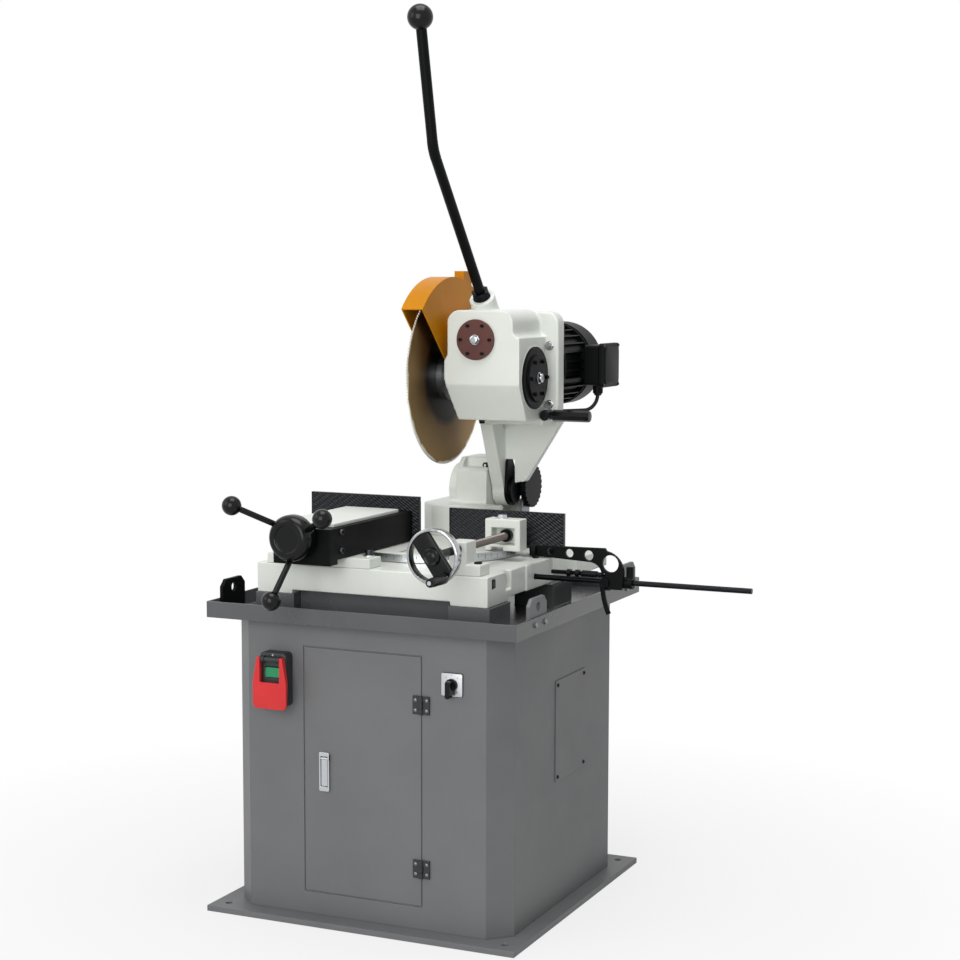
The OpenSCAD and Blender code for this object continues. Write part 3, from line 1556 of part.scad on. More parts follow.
// Sheet guard over the blade's upper half: a rim between two side plates
guard_x0 = -guard_w / 2 - 4;
guard_x1 = guard_w / 2 - 4;
module guard_outline(r) {
  nose_a = 137;
  tail_a = 30;
  polygon(concat([[-30, 22]], arc([0, 0], r, nose_a, tail_a, 24), [[44, 12]]));
}
module blade_guard() {
  stand_ys = [[-16, 100], [44, 92]];
  tab = [72, 112, 24];
  color("#de9a1a")
    translate([0, spindle_y, spindle_z])
      difference() {
        union() {
          difference() {
            along_x(guard_x0, guard_x1)
              guard_outline(guard_r);
            along_x(guard_x0 + guard_t, guard_x1 - guard_t)
              circle(r = guard_r - guard_t);
          }
          for (p = stand_ys)
            rod_x(guard_x1 - 1, gb_left, p[0], p[1], 9);
          block(-14, 8, tab[0], tab[1], 180, 219);
        }
        along_x(guard_x0 + guard_t, guard_x1 - guard_t)
          circle(r = guard_r - guard_t);
        rod_x(guard_x0 - 1, guard_x1 + 1, 0, 0, 40);
      }
}

// Feed lever, bent once, and its ball
module lever_rod() {
  bend = lever_lean - lever_upper_lean;
  r = lever_d / 2;
  lap = 2;
  color("#1c1d1e")
    translate([lever_x, lever_foot[0], lever_foot[1]])
      rotate([lever_lean, 0, 0]) {
        translate([0, 0, -lever_boss_l / 2])
          cylinder(h = lever_low_l + lever_boss_l / 2 + lap, r = r);
        translate([0, lever_bend_r, lever_low_l])
          rotate([0, 90, 0])
            rotate([0, 0, -90 - bend])
              rotate_extrude(angle = bend)
                translate([lever_bend_r, 0])
                  circle(r = r + lever_bend_extra);
        translate([0, lever_bend_r * (1 - cos(bend)), lever_low_l + lever_bend_r * sin(bend)])
          rotate([-bend, 0, 0])
            translate([0, 0, -lap])
              cylinder(h = lever_up_l + lap, r = r);
      }
}
module lever_ball() {
  bend = lever_lean - lever_upper_lean;
  color("#1a1b1c")
    translate([lever_x, lever_foot[0], lever_foot[1]])
      rotate([lever_lean, 0, 0])
        translate([0, lever_bend_r * (1 - cos(bend)), lever_low_l + lever_bend_r * sin(bend)])
          rotate([-bend, 0, 0])
            difference() {
              translate([0, 0, lever_up_l + lever_ball_d / 4])
                sphere(d = lever_ball_d);
              translate([0, 0, lever_up_l - lever_ball_d])
                cylinder(h = lever_ball_d, r = lever_d / 2 + fit);
            }
}

// Outline of the teardrop plate on the pivot shaft, grown by a margin
module pivot_plate_outline(margin) {
  tip = [-14, 62];
  tip_r = 13;
  translate([pivot_y, pivot_z])
    polygon(concat(arc([0, 0], pivot_plate_r + margin, 160, 380, 16), arc(tip, tip_r + margin, 20, 160)));
}

// Pivot shaft with its end cap and the teardrop plate on its right
module pivot_shaft() {
  x0 = block_x - 20 - slip;
  x1 = block_right + 2 + arm_w;
  cap_r = 26;
  color("#222324") {
    rod_x(x0 - 6, x1 + 8, pivot_y, pivot_z, pivot_d / 2 - fit);
    rod_x(x0 - 6, x0, pivot_y, pivot_z, cap_r);
    along_x(x1, x1 + pivot_plate_t)
      pivot_plate_outline(0);
    rod_x(x1 + pivot_plate_t, x1 + 2 * pivot_plate_t, pivot_y, pivot_z, pivot_plate_r - 5);
  }
}

// Lock handle at the gearbox's lower right
module lock_handle() {
  hub_r = 11;
  grip_r = 12;
  color("#262728") {
    rod_y(lock_y - grip_r, mf_y0 - slip, lock_x, lock_z, hub_r);
    rod_x(lock_x, lock_x + lock_l, lock_y, lock_z, grip_r);
  }
}

// Return spring: one coiled wire round the adjuster's shaft
spring_path = [for (i = [0 : 8 * spring_turns]) [spring_x0 + spring_pitch * i / 8,
  spring_y + spring_r * cos(45 * i), spring_z + spring_r * sin(45 * i)]];
module return_spring() {
  n = len(spring_path);
  dirs = [for (i = [0 : n - 1]) unit([spring_pitch / 8, -spring_r * sin(45 * i) * PI / 4,
    spring_r * cos(45 * i) * PI / 4])];
  gap = min([for (i = [0 : n - 9]) for (k = [6 : 10]) if (i + k < n)
    norm(spring_path[i + k] - spring_path[i]) - spring_wire]);
  echo(return_spring_gap = gap);
  color("#2a2b2c")
    tube(spring_path, dirs, spring_wire / 2, 6);
}

// Spring adjuster: shaft, notched disc and the strap that ties it to the column base's side
module spring_adjuster() {
  notches = 24;
  notch = [3, 5];
  disc_x = column_hw + spring_strap_t + 2;
  shaft_r = 10;
  tail = [20, 38];
  foot_drop = 44;
  color("#1f2021") {
    rod_x(block_right - 28, disc_x + spring_disc_t, spring_y, spring_z, shaft_r);
    difference() {
      rod_x(disc_x, disc_x + spring_disc_t, spring_y, spring_z, spring_disc_d / 2);
      for (i = [0 : notches - 1])
        translate([0, spring_y, spring_z])
          rotate([360 * i / notches, 0, 0])
            translate([disc_x - 1, spring_disc_d / 2 - notch[0], -notch[1] / 2])
              cube([spring_disc_t + 2, 2 * notch[0], notch[1]]);
    }
    along_x(column_hw, column_hw + spring_strap_t)
      translate([spring_y, spring_z])
        polygon([[tail[0] - 12, tail[1] + 6], [tail[0] + 12, tail[1] - 6], [12, -6], [12, -tail[1]],
          [8, -tail[1] - foot_drop], [-28, -tail[1] - foot_drop], [-28, -tail[1]], [-12, 6]]);
  }
}

base_plate();
cabinet_shell();
cabinet_door();
door_hinge_leaves();
frame_hinge_leaves();
stand_fasteners();
latch_frame();
latch_lever();
service_panel();
switch_box();
stop_paddle();
start_button();
selector_switch();
selector_knob();
chip_tray();
lifting_lugs();
coolant_unit();
bed_casting();
fence_bodies();
fence_plates();
turntable();
scale_ring();
column();
vise_base();
vise_carriage();
vise_cover();
vise_hub();
vise_handles();
clamp_bracket();
clamp_jaw();
clamp_screw();
handwheel();
handwheel_grip();
stop_rod();
stop_arm();
stop_clamp();
stop_adjuster();
stop_lever();
gearbox_housing();
worm_cover();
spindle_cover();
head_fasteners();
worm_shaft();
worm_wheel();
spindle();
bearings();
motor_body();
motor_rotor();
fan_cover();
terminal_box();
motor_lead();
blade();
blade_flange();
blade_guard();
lever_rod();
lever_ball();
pivot_shaft();
lock_handle();
return_spring();
spring_adjuster();
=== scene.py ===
"""Dresses the cold saw: studio, camera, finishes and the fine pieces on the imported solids."""
import json
import math

import bmesh
import bpy
from mathutils import Matrix, Vector


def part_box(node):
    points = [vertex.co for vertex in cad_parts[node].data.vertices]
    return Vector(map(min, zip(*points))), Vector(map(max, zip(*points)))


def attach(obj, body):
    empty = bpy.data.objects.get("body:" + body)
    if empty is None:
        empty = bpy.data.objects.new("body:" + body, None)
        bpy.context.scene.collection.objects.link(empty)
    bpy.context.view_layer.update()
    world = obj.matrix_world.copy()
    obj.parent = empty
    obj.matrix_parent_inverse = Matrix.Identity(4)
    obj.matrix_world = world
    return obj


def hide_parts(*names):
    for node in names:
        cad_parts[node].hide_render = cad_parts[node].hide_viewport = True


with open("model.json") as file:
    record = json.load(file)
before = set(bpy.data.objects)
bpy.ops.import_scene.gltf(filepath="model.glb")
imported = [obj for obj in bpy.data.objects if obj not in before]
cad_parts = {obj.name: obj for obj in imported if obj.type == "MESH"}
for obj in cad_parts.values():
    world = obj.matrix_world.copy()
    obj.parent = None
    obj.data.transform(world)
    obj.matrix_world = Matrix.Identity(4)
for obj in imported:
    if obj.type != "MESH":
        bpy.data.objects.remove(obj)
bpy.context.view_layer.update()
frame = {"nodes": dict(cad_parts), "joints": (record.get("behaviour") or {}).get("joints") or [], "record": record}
MM = 0.001
RIGHT, FRONT, UP = Vector((1, 0, 0)), Vector((0, -1, 0)), Vector((0, 0, 1))
BODY_OF = {node: body for body, nodes in frame["record"]["behaviour"]["bodies"].items() for node in nodes}
JOINT_AT = {joint["name"]: Vector(joint["pos_m"]) for joint in frame["joints"]}


def mm(*values):
    """A point given in millimetres, as metres."""
    return Vector(values) * MM


# Camera: at the photograph's viewing angle, right of the machine's front and at chest height
EYE = mm(1782.5, -3669.1, 1275.8)
YAW, PITCH, ROLL = math.radians(24.46), math.radians(5.76), math.radians(0.1)
lens = bpy.data.cameras.new("studio_camera")
lens.lens = 74.06
lens.sensor_width = 36.0
lens.clip_end = 30.0
camera = bpy.data.objects.new("studio_camera", lens)
bpy.context.collection.objects.link(camera)
camera.matrix_world = (Matrix.Translation(EYE) @ Matrix.Rotation(YAW, 4, "Z")
                       @ Matrix.Rotation(math.pi / 2 - PITCH, 4, "X") @ Matrix.Rotation(ROLL, 4, "Z"))
bpy.context.scene.camera = camera
bpy.context.scene.view_settings.view_transform = "Standard"


# Motor lead: down out of the terminal box, level towards the head and into the flange's gland
LEAD_START, LEAD_END = mm(255.5, 299, 1035.3), mm(205, 213, 1000.3)
LEAD_BEND, LEAD_R = 35 * MM, 4 * MM
LEAD_SIDE = Vector((1, 0.2, 0.1))
DROP_STEPS, TURN_STEPS = 12, 6
run = LEAD_START - LEAD_END - RIGHT * LEAD_BEND
lead_turn = math.atan2(run.x, run.y) + math.asin(LEAD_BEND / math.hypot(run.x, run.y))
level = Vector((-math.sin(lead_turn), -math.cos(lead_turn), 0))
lead_route = []
for step in range(DROP_STEPS + 1):
    angle = math.pi / 2 * step / DROP_STEPS
    lead_route.append(LEAD_START + LEAD_BEND * ((1 - math.cos(angle)) * level - math.sin(angle) * UP))
for step in range(TURN_STEPS + 1):
    angle = lead_turn * (1 - step / TURN_STEPS)
    lead_route.append(LEAD_END + LEAD_BEND * Vector((1 - math.cos(angle), math.sin(angle), 0)))


def linear(colour):
    """An sRGB hex colour as linear RGBA."""
    parts = [int(colour[i:i + 2], 16) / 255 for i in (1, 3, 5)]
    return [p / 12.92 if p <= 0.04045 else ((p + 0.055) / 1.055) ** 2.4 for p in parts] + [1.0]


def add(tree, kind, inputs=None, stops=(), **settings):
    """One shader node: inputs are sockets to link or values, stops a ramp's colours, settings the rest."""
    node = tree.nodes.new(kind)
    for key, value in settings.items():
        if key in node.bl_rna.properties:
            setattr(node, key, value)
        else:
            node.inputs[key.replace("_", " ")].default_value = value
    for key, source in (inputs or {}).items():
        if isinstance(source, bpy.types.NodeSocket):
            tree.links.new(source, node.inputs[key])
        else:
            node.inputs[key].default_value = source
    if stops:
        elements = node.color_ramp.elements
        while len(elements) < len(stops):
            elements.new(1.0)
        for element, (position, colour) in zip(elements, stops):
            element.position = position
            element.color = linear(colour)
    return node


def new_material(name):
    """An empty material: itself, its node tree and its Principled shader."""
    material = bpy.data.materials.new(name)
    material.use_nodes = True
    return material, material.node_tree, material.node_tree.nodes["Principled BSDF"]


def finish_shader(tree, shader, tone, gloss, bump):
    """Links a colour, a roughness and a bump node to the shader."""
    tree.links.new(tone.outputs["Color"], shader.inputs["Base Color"])
    tree.links.new(gloss.outputs["Result"], shader.inputs["Roughness"])
    tree.links.new(bump.outputs["Normal"], shader.inputs["Normal"])


def enamel(name, colour, shade, roughness, peel_mm, peel_depth, sheen=0.5):
    """Sprayed enamel: a faint cloudy tone over hand-sized patches and a fine orange-peel bump."""
    cloud_mm, bump_mm, gloss_swing = 220, 0.6, 0.08
    material, tree, shader = new_material(name)
    place = add(tree, "ShaderNodeTexCoord").outputs["Object"]
    cloud = add(tree, "ShaderNodeTexNoise", {"Vector": place}, Scale=1000 / cloud_mm, Detail=5.0,
                Roughness=0.62)
    peel = add(tree, "ShaderNodeTexNoise", {"Vector": place}, Scale=1000 / peel_mm, Detail=2.0)
    bump = add(tree, "ShaderNodeBump", {"Height": peel.outputs["Fac"]}, Strength=peel_depth,
               Distance=bump_mm * MM)
    gloss = add(tree, "ShaderNodeMapRange", {"Value": cloud.outputs["Fac"]}, To_Min=roughness + gloss_swing,
                To_Max=roughness - gloss_swing)
    tone = add(tree, "ShaderNodeValToRGB", {"Fac": cloud.outputs["Fac"]}, [(0.34, shade), (0.64, colour)])
    finish_shader(tree, shader, tone, gloss, bump)
    shader.inputs["IOR"].default_value = 1.5
    shader.inputs["Specular IOR Level"].default_value = sheen
    return material


def steel(name, colour, shade, roughness, grain_mm):
    """Machined steel: fine grain in tone, gloss and bump."""
    bump_mm, glossier, duller = 0.2, 0.06, 0.08
    material, tree, shader = new_material(name)
    place = add(tree, "ShaderNodeTexCoord").outputs["Object"]
    grain = add(tree, "ShaderNodeTexNoise", {"Vector": place}, Scale=1000 / grain_mm, Detail=4.0)
    bump = add(tree, "ShaderNodeBump", {"Height": grain.outputs["Fac"]}, Strength=0.1,
               Distance=bump_mm * MM)
    gloss = add(tree, "ShaderNodeMapRange", {"Value": grain.outputs["Fac"]}, To_Min=roughness - glossier,
                To_Max=roughness + duller)
    tone = add(tree, "ShaderNodeValToRGB", {"Fac": grain.outputs["Fac"]}, [(0.3, shade), (0.7, colour)])
    finish_shader(tree, shader, tone, gloss, bump)
    shader.inputs["Metallic"].default_value = 1.0
    return material


def tempered_blade_painted_light():
    """Steam-tempered bronze blade with grinding rings round the axis, and painted light: a dark centre round the
    flanges painted as shade and the dark head's reflection, and a pale edge painted as the highlight on the tooth
    tips.

    The rings are drawn about a millimetre apart, coarser than real ones, so that they show."""
    blade_r_mm, blotch_mm, ragged_mm, ring_mm, bump_mm = 185, 50, 22, 1 / 0.9, 0.2
    material, tree, shader = new_material("steam_tempered_blade_steel")
    place = add(tree, "ShaderNodeTexCoord").outputs["Object"]
    centred = add(tree, "ShaderNodeVectorMath", {0: place, 1: JOINT_AT["blade_spin"]}, operation="SUBTRACT")
    flat = add(tree, "ShaderNodeVectorMath", {0: centred.outputs["Vector"], 1: (0, 1, 1)},
               operation="MULTIPLY")
    length = add(tree, "ShaderNodeVectorMath", {0: flat.outputs["Vector"]}, operation="LENGTH")
    radius = length.outputs["Value"]
    blotch = add(tree, "ShaderNodeTexNoise", {"Vector": place}, Scale=1000 / blotch_mm, Detail=3.0)
    # Noise makes the edge of the painted dark centre ragged
    ragged = add(tree, "ShaderNodeMath", {0: blotch.outputs["Fac"], 1: ragged_mm * MM, 2: radius},
                 operation="MULTIPLY_ADD")
    share = add(tree, "ShaderNodeMath", {0: ragged.outputs["Value"], 1: (blade_r_mm + ragged_mm / 2) * MM},
                operation="DIVIDE")
    rings = add(tree, "ShaderNodeTexNoise", {"W": radius}, noise_dimensions="1D", Scale=1000 / ring_mm,
                Detail=2.0)
    bump = add(tree, "ShaderNodeBump", {"Height": rings.outputs["Fac"]}, Strength=0.1,
               Distance=bump_mm * MM)
    gloss = add(tree, "ShaderNodeMapRange", {"Value": rings.outputs["Fac"]}, To_Min=0.3, To_Max=0.46)
    # Painted light: the near-black stops up to 0.52 of the radius are painted shade and reflection of the dark
    # head, and the pale last stop is a painted highlight on the tooth tips
    tone = add(tree, "ShaderNodeValToRGB", {"Fac": share.outputs["Value"]},
               [(0.3, "#12110F"), (0.52, "#1A1714"), (0.6, "#6B522E"), (0.965, "#82663A"),
                (0.985, "#D4D1C6")])
    finish_shader(tree, shader, tone, gloss, bump)
    shader.inputs["Metallic"].default_value = 1.0
    return material


# Sprayed enamels: an even coat with a slight orange peel, so that highlights get soft, broken edges
STAND = enamel("satin_grey_enamel", "#6F7071", "#696A6C", 0.5, 2.2, 0.25)  # flat sheen, faintly cloudy
TRAY = enamel("glossy_grey_enamel", "#5C5D5E", "#565759", 0.26, 3.0, 0.06, 0.4)  # mirrors the bed faintly
CASTING = enamel("white_casting_enamel", "#E4E8E1", "#DADED7", 0.36, 3.0, 0.18)  # thick coat, soft gloss
BLACK = enamel("satin_black_enamel", "#0D0E0F", "#090A0A", 0.42, 2.0, 0.15, 0.08)  # deep, hardly a glint
GUARD = enamel("orange_guard_enamel", "#C98308", "#BC7805", 0.36, 2.5, 0.12, 0.12)  # strong, quiet gloss
BROWN = enamel("brown_cover_enamel", "#5A2E26", "#4E261E", 0.42, 1.6, 0.2, 0.35)  # dull red-brown
TANK = enamel("dark_tank_enamel", "#4C5356", "#434A4D", 0.5, 2.5, 0.2)  # plain and dull
HINGE = enamel("dark_hinge_enamel", "#2E2F30", "#262728", 0.42, 2.0, 0.15, 0.4)  # dark satin
# Plastics, rubber and print: even colour and a fine grain from the mould, drawn coarse enough to show
RED = enamel("red_moulded_polyamide", "#DC2A2C", "#CC2124", 0.34, 1.5, 0.08)  # bright, small soft glints
GREEN = enamel("green_moulded_polyamide", "#1E9A62", "#178552", 0.34, 1.5, 0.08)  # bright, small soft glints
SWITCH = enamel("grey_moulded_polyamide", "#333637", "#2B2E2F", 0.45, 1.2, 0.2, 0.4)  # dull, finely grained
PHENOLIC = enamel("black_pressed_phenolic", "#0C0D0E", "#090A0A", 0.2, 4.0, 0.03, 0.22)  # small sharp glints
RUBBER = enamel("black_extruded_lead_rubber", "#121314", "#0C0D0E", 0.6, 1.0, 0.3, 0.3)  # dull, no highlight
INK = enamel("black_scale_ink", "#26282A", "#1C1E20", 0.5, 1.0, 0.05)  # flat dark print
# Metals: the tone is the reflection's own, broken up by the grain that turning, grinding or plating leaves;
# real grain is finer than a pixel, so it is drawn about a millimetre wide to show
BRIGHT = steel("zinc_plated_steel", "#C9CCCE", "#B4B7BA", 0.3, 1.2)  # pale, cool, soft reflections
GROUND = steel("ground_steel", "#B2B5B8", "#9A9DA0", 0.28, 0.8)  # even grey reflections
OXIDE = steel("black_oxide_steel", "#242527", "#191A1C", 0.34, 1.0)  # near black with a soft glint
SCREW = steel("oiled_black_screw_steel", "#4A4D50", "#34373A", 0.3, 1.0)  # dark grey, lit on edges
FENCE = steel("hardened_black_oxide_steel", "#303133", "#1E1F21", 0.34, 3.0)  # dark, mottled glint
CHROME = steel("polished_chrome_plate", "#B4B6B8", "#9C9EA1", 0.16, 6.0)  # clear bright reflections
DULL = steel("dull_zinc_plated_steel", "#8A8D90", "#6F7275", 0.42, 1.0)  # grey, blurred reflections
ROLLED = steel("rolled_thread_steel", "#746D68", "#5C5652", 0.34, 1.0)  # brownish, blurred
BRONZE = steel("cast_wheel_bronze", "#B08548", "#9A7038", 0.32, 1.0)  # warm yellow-brown glint
# Blade: bronze steel with a painted dark shade round its centre and a painted highlight along its teeth
BLADE = tempered_blade_painted_light()

NODE_FINISH = {
    "base_plate": STAND, "cabinet_shell": STAND, "cabinet_door": STAND, "door_hinge_leaves": HINGE,
    "frame_hinge_leaves": HINGE, "stand_fasteners": BRIGHT, "latch_frame": BRIGHT, "latch_lever": BRIGHT,
    "service_panel": STAND, "switch_box": SWITCH, "stop_paddle": RED, "start_button": GREEN,
    "selector_switch": BLACK, "selector_knob": PHENOLIC, "chip_tray": TRAY, "lifting_lugs": BLACK,
    "coolant_unit": TANK, "bed_casting": CASTING, "fence_bodies": BLACK, "fence_plates": FENCE,
    "turntable": CASTING, "scale_ring": BRIGHT, "column": CASTING, "vise_base": CASTING,
    "vise_carriage": BLACK, "vise_cover": CASTING, "vise_hub": BLACK, "vise_handles": PHENOLIC,
    "clamp_bracket": CASTING, "clamp_jaw": CASTING, "clamp_screw": OXIDE, "handwheel": CHROME,
    "handwheel_grip": PHENOLIC, "stop_rod": OXIDE, "stop_arm": BLACK, "stop_clamp": BLACK,
    "stop_adjuster": OXIDE, "stop_lever": BLACK, "gearbox_housing": CASTING, "worm_cover": BROWN,
    "spindle_cover": BLACK, "head_fasteners": OXIDE, "worm_shaft": GROUND, "worm_wheel": BRONZE,
    "spindle": GROUND, "bearings": GROUND, "motor_body": BLACK, "motor_rotor": GROUND, "fan_cover": BLACK,
    "terminal_box": BLACK, "motor_lead": RUBBER, "blade": BLADE, "blade_flange": BLACK, "blade_guard": GUARD,
    "lever_rod": BLACK, "lever_ball": PHENOLIC, "pivot_shaft": BLACK, "lock_handle": PHENOLIC,
    "return_spring": OXIDE, "spring_adjuster": BLACK,
}
for name, solid in frame["nodes"].items():
    solid.data.materials.clear()
    solid.data.materials.append(NODE_FINISH[name])


def piece(name, work, finish, node, smooth_deg=35, stands_for=True):
    """A mesh object from a bmesh on a node's body.

    It stands for the node or adds to it."""
    mesh = bpy.data.meshes.new(name)
    work.to_mesh(mesh)
    work.free()
    mesh.materials.append(finish)
    mesh.shade_smooth()
    mesh.set_sharp_from_angle(angle=math.radians(smooth_deg))
    obj = bpy.data.objects.new(name, mesh)
    bpy.context.collection.objects.link(obj)
    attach(obj, BODY_OF[node])
    if stands_for:
        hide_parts(node)
    return obj


def centre_of(node):
    """The middle of a node's box."""
    low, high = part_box(node)
    return (low + high) / 2


# Solids whose inner corners stay sharp, because another piece moves in them
CRISP_INSIDE = ("switch_box", "cabinet_door", "latch_frame", "latch_lever")


def softened(node, edge_mm):
    """A solid's copy with its sharp edges rounded over, as folding or deburring leaves them."""
    same_point_mm, flat_deg, sharp_deg, round_steps = 0.02, 0.5, 32, 2
    work = bmesh.new()
    work.from_mesh(frame["nodes"][node].data)
    bmesh.ops.remove_doubles(work, verts=work.verts, dist=same_point_mm * MM)
    bmesh.ops.dissolve_limit(work, angle_limit=math.radians(flat_deg), verts=work.verts, edges=work.edges)
    sharp = [e for e in work.edges if len(e.link_faces) == 2
             and e.calc_face_angle() > math.radians(sharp_deg)
             and (e.is_convex or node not in CRISP_INSIDE)]
    bmesh.ops.bevel(work, geom=sharp, offset=edge_mm * MM, segments=round_steps, profile=0.5,
                    affect="EDGES", clamp_overlap=False)
    bmesh.ops.triangulate(work, faces=[f for f in work.faces if len(f.verts) > 4])
    obj = piece(node + "_softened", work, NODE_FINISH[node], node, smooth_deg=50)
    obj.modifiers.new("flat_faces", "WEIGHTED_NORMAL").keep_sharp = True
    return obj


def cast(node):
    """A casting's copy: its solid rebuilt on a fine grid and smoothed, so that every corner has a fillet."""
    grid_mm, rounds = 2.5, 2
    rough = bpy.data.objects.new(node + "_rough", frame["nodes"][node].data.copy())
    bpy.context.collection.objects.link(rough)
    grid = rough.modifiers.new("grid", "REMESH")
    grid.mode = "VOXEL"
    grid.voxel_size = grid_mm * MM
    fillets = rough.modifiers.new("fillets", "SMOOTH")
    fillets.factor = 0.5
    fillets.iterations = rounds
    bpy.context.view_layer.update()
    work = bmesh.new()
    work.from_object(rough, bpy.context.evaluated_depsgraph_get())
    bpy.data.objects.remove(rough)
    return piece(node + "_cast", work, NODE_FINISH[node], node, smooth_deg=60)


def turned(name, places, axis, profile, finish, node, stands_for=True, sides=36, smooth_deg=35, looped=False):
    """Lathe work at each place: (radius, height) points in mm along an axis; a third value gives n flats.

    A looped profile closes on itself, any other ends in flat discs."""
    work = bmesh.new()
    turn = Vector(axis).to_track_quat("Z", "Y").to_matrix()
    for place in places:
        rings = []
        for radius, height, *flats in profile:
            ring = []
            for step in range(sides):
                angle = math.tau * step / sides
                reach = radius
                if flats:
                    half = math.pi / flats[0]
                    reach *= math.cos(half) / math.cos(angle % (2 * half) - half)
                spot = mm(reach * math.cos(angle), reach * math.sin(angle), height)
                ring.append(work.verts.new(place + turn @ spot))
            rings.append(ring)
        for low, high in zip(rings, rings[1:] + rings[:looped]):
            for k in range(sides):
                work.faces.new((low[k], low[k - 1], high[k - 1], high[k]))
        if not looped:
            work.faces.new(rings[0])
            work.faces.new(rings[-1])
    bmesh.ops.recalc_face_normals(work, faces=work.faces)
    return piece(name, work, finish, node, smooth_deg, stands_for)


def swept(name, path, radius_mm, side, finish, node):
    """A round bar along a path of points, capped at both ends; side is a direction it never runs in."""
    sides = 16
    work = bmesh.new()
    rings = []
    for i, point in enumerate(path):
        along = path[min(i + 1, len(path) - 1)] - path[max(i - 1, 0)]
        across = along.cross(side).normalized()
        over = along.cross(across).normalized()
        rings.append([work.verts.new(point + radius_mm * MM * (across * math.cos(math.tau * k / sides)
                                                                + over * math.sin(math.tau * k / sides)))
                      for k in range(sides)])
    for low, high in zip(rings, rings[1:]):
        for k in range(sides):
            work.faces.new((low[k], low[k - 1], high[k - 1], high[k]))
    work.faces.new(rings[0])
    work.faces.new(rings[-1])
    bmesh.ops.recalc_face_normals(work, faces=work.faces)
    return piece(name, work, finish, node)


# The lead's tube, as long as the route it follows
lead_cord = swept("motor_lead_cord", lead_route, LEAD_R / MM, LEAD_SIDE, RUBBER, "motor_lead")


def slab(name, centre, across, up, size, corner, edge, finish, node, stands_for=True):
    """A flat piece with round corners and softened edges.

    Size is its width, height and thickness, and like corner and edge it is in mm."""
    corner_steps, rim_deg = 6, 60
    width, height, thick = size
    out = across.cross(up)
    work = bmesh.new()
    outline = []
    for x, y, start in ((1, 1, 0), (-1, 1, 90), (-1, -1, 180), (1, -1, 270)):
        for step in range(corner_steps + 1):
            angle = math.radians(start + 90 * step / corner_steps)
            outline.append(centre + MM * (across * (x * (width / 2 - corner) + corner * math.cos(angle))
                                          + up * (y * (height / 2 - corner) + corner * math.sin(angle))))
    low = [work.verts.new(p - out * thick / 2 * MM) for p in outline]
    high = [work.verts.new(p + out * thick / 2 * MM) for p in outline]
    for k in range(len(outline)):
        work.faces.new((low[k - 1], low[k], high[k], high[k - 1]))
    work.faces.new(low)
    work.faces.new(high)
    bmesh.ops.recalc_face_normals(work, faces=work.faces)
    rims = [e for e in work.edges if e.calc_face_angle() > math.radians(rim_deg)]
    bmesh.ops.bevel(work, geom=rims, offset=edge * MM, segments=3, profile=0.5, affect="EDGES")
    return piece(name, work, finish, node, smooth_deg=40, stands_for=stands_for)


def socket_head(radius, height):
    """Profile of a cap screw with a hexagon socket."""
    return [(radius, 0), (radius, height - 0.5), (radius - 0.5, height), (radius * 0.55, height, 6),
            (radius * 0.55, height * 0.4, 6)]


def hexagon_head(radius, height):
    """Profile of a hexagon bolt head, chamfered on top, on its washer."""
    washer = radius * 1.12
    return [(washer, 0), (washer, 1.2), (radius, 1.2, 6), (radius, height - 0.9, 6), (radius * 0.84, height),
            (radius * 0.3, height + 0.1)]


def pan_head(radius, height):
    """Profile of a low round screw head with a dimple for the driver."""
    return [(radius, 0), (radius, height * 0.35), (radius * 0.78, height * 0.85), (radius * 0.4, height),
            (radius * 0.32, height * 0.6)]


def thread(radius, start, end, pitch):
    """Profile of a threaded stretch, as closed ridges one pitch apart."""
    ridges = int((end - start) / pitch)
    run = [(radius - 0.45 * pitch, start)]
    for i in range(ridges):
        run += [(radius, start + (i + 0.45) * pitch), (radius, start + (i + 0.6) * pitch),
                (radius - 0.45 * pitch, start + (i + 1) * pitch)]
    return run + [(radius - 0.45 * pitch, end)]


# Rounding of the solids' edges: small on sheet and trim, larger on castings and mouldings
SOFT_EDGE_MM = {
    "base_plate": 1.0, "cabinet_shell": 0.8, "cabinet_door": 1.3, "chip_tray": 1.2, "service_panel": 0.6,
    "bed_casting": 2.5, "turntable": 1.0, "vise_base": 2.0, "vise_carriage": 1.6, "vise_cover": 1.5,
    "clamp_bracket": 2.5, "clamp_jaw": 2.0, "switch_box": 3.0, "stop_paddle": 2.0, "start_button": 1.0,
    "latch_frame": 0.8, "latch_lever": 0.4, "fence_bodies": 1.0, "stop_arm": 0.8, "stop_lever": 1.0,
    "worm_cover": 0.8, "spindle_cover": 1.2, "terminal_box": 2.0, "blade_guard": 0.6, "selector_switch": 0.8,
    "selector_knob": 1.2, "door_hinge_leaves": 0.5, "frame_hinge_leaves": 0.5, "stop_clamp": 0.8,
}
for name, edge_mm in SOFT_EDGE_MM.items():
    softened(name, edge_mm)
cast("gearbox_housing")
cast("column")

# Lifting lugs: black on the left, in the stand's colour on the right
lugs = softened("lifting_lugs", 1.2)
lugs.data.materials.append(STAND)
for face in lugs.data.polygons:
    face.material_index = int(face.center.x > 0)


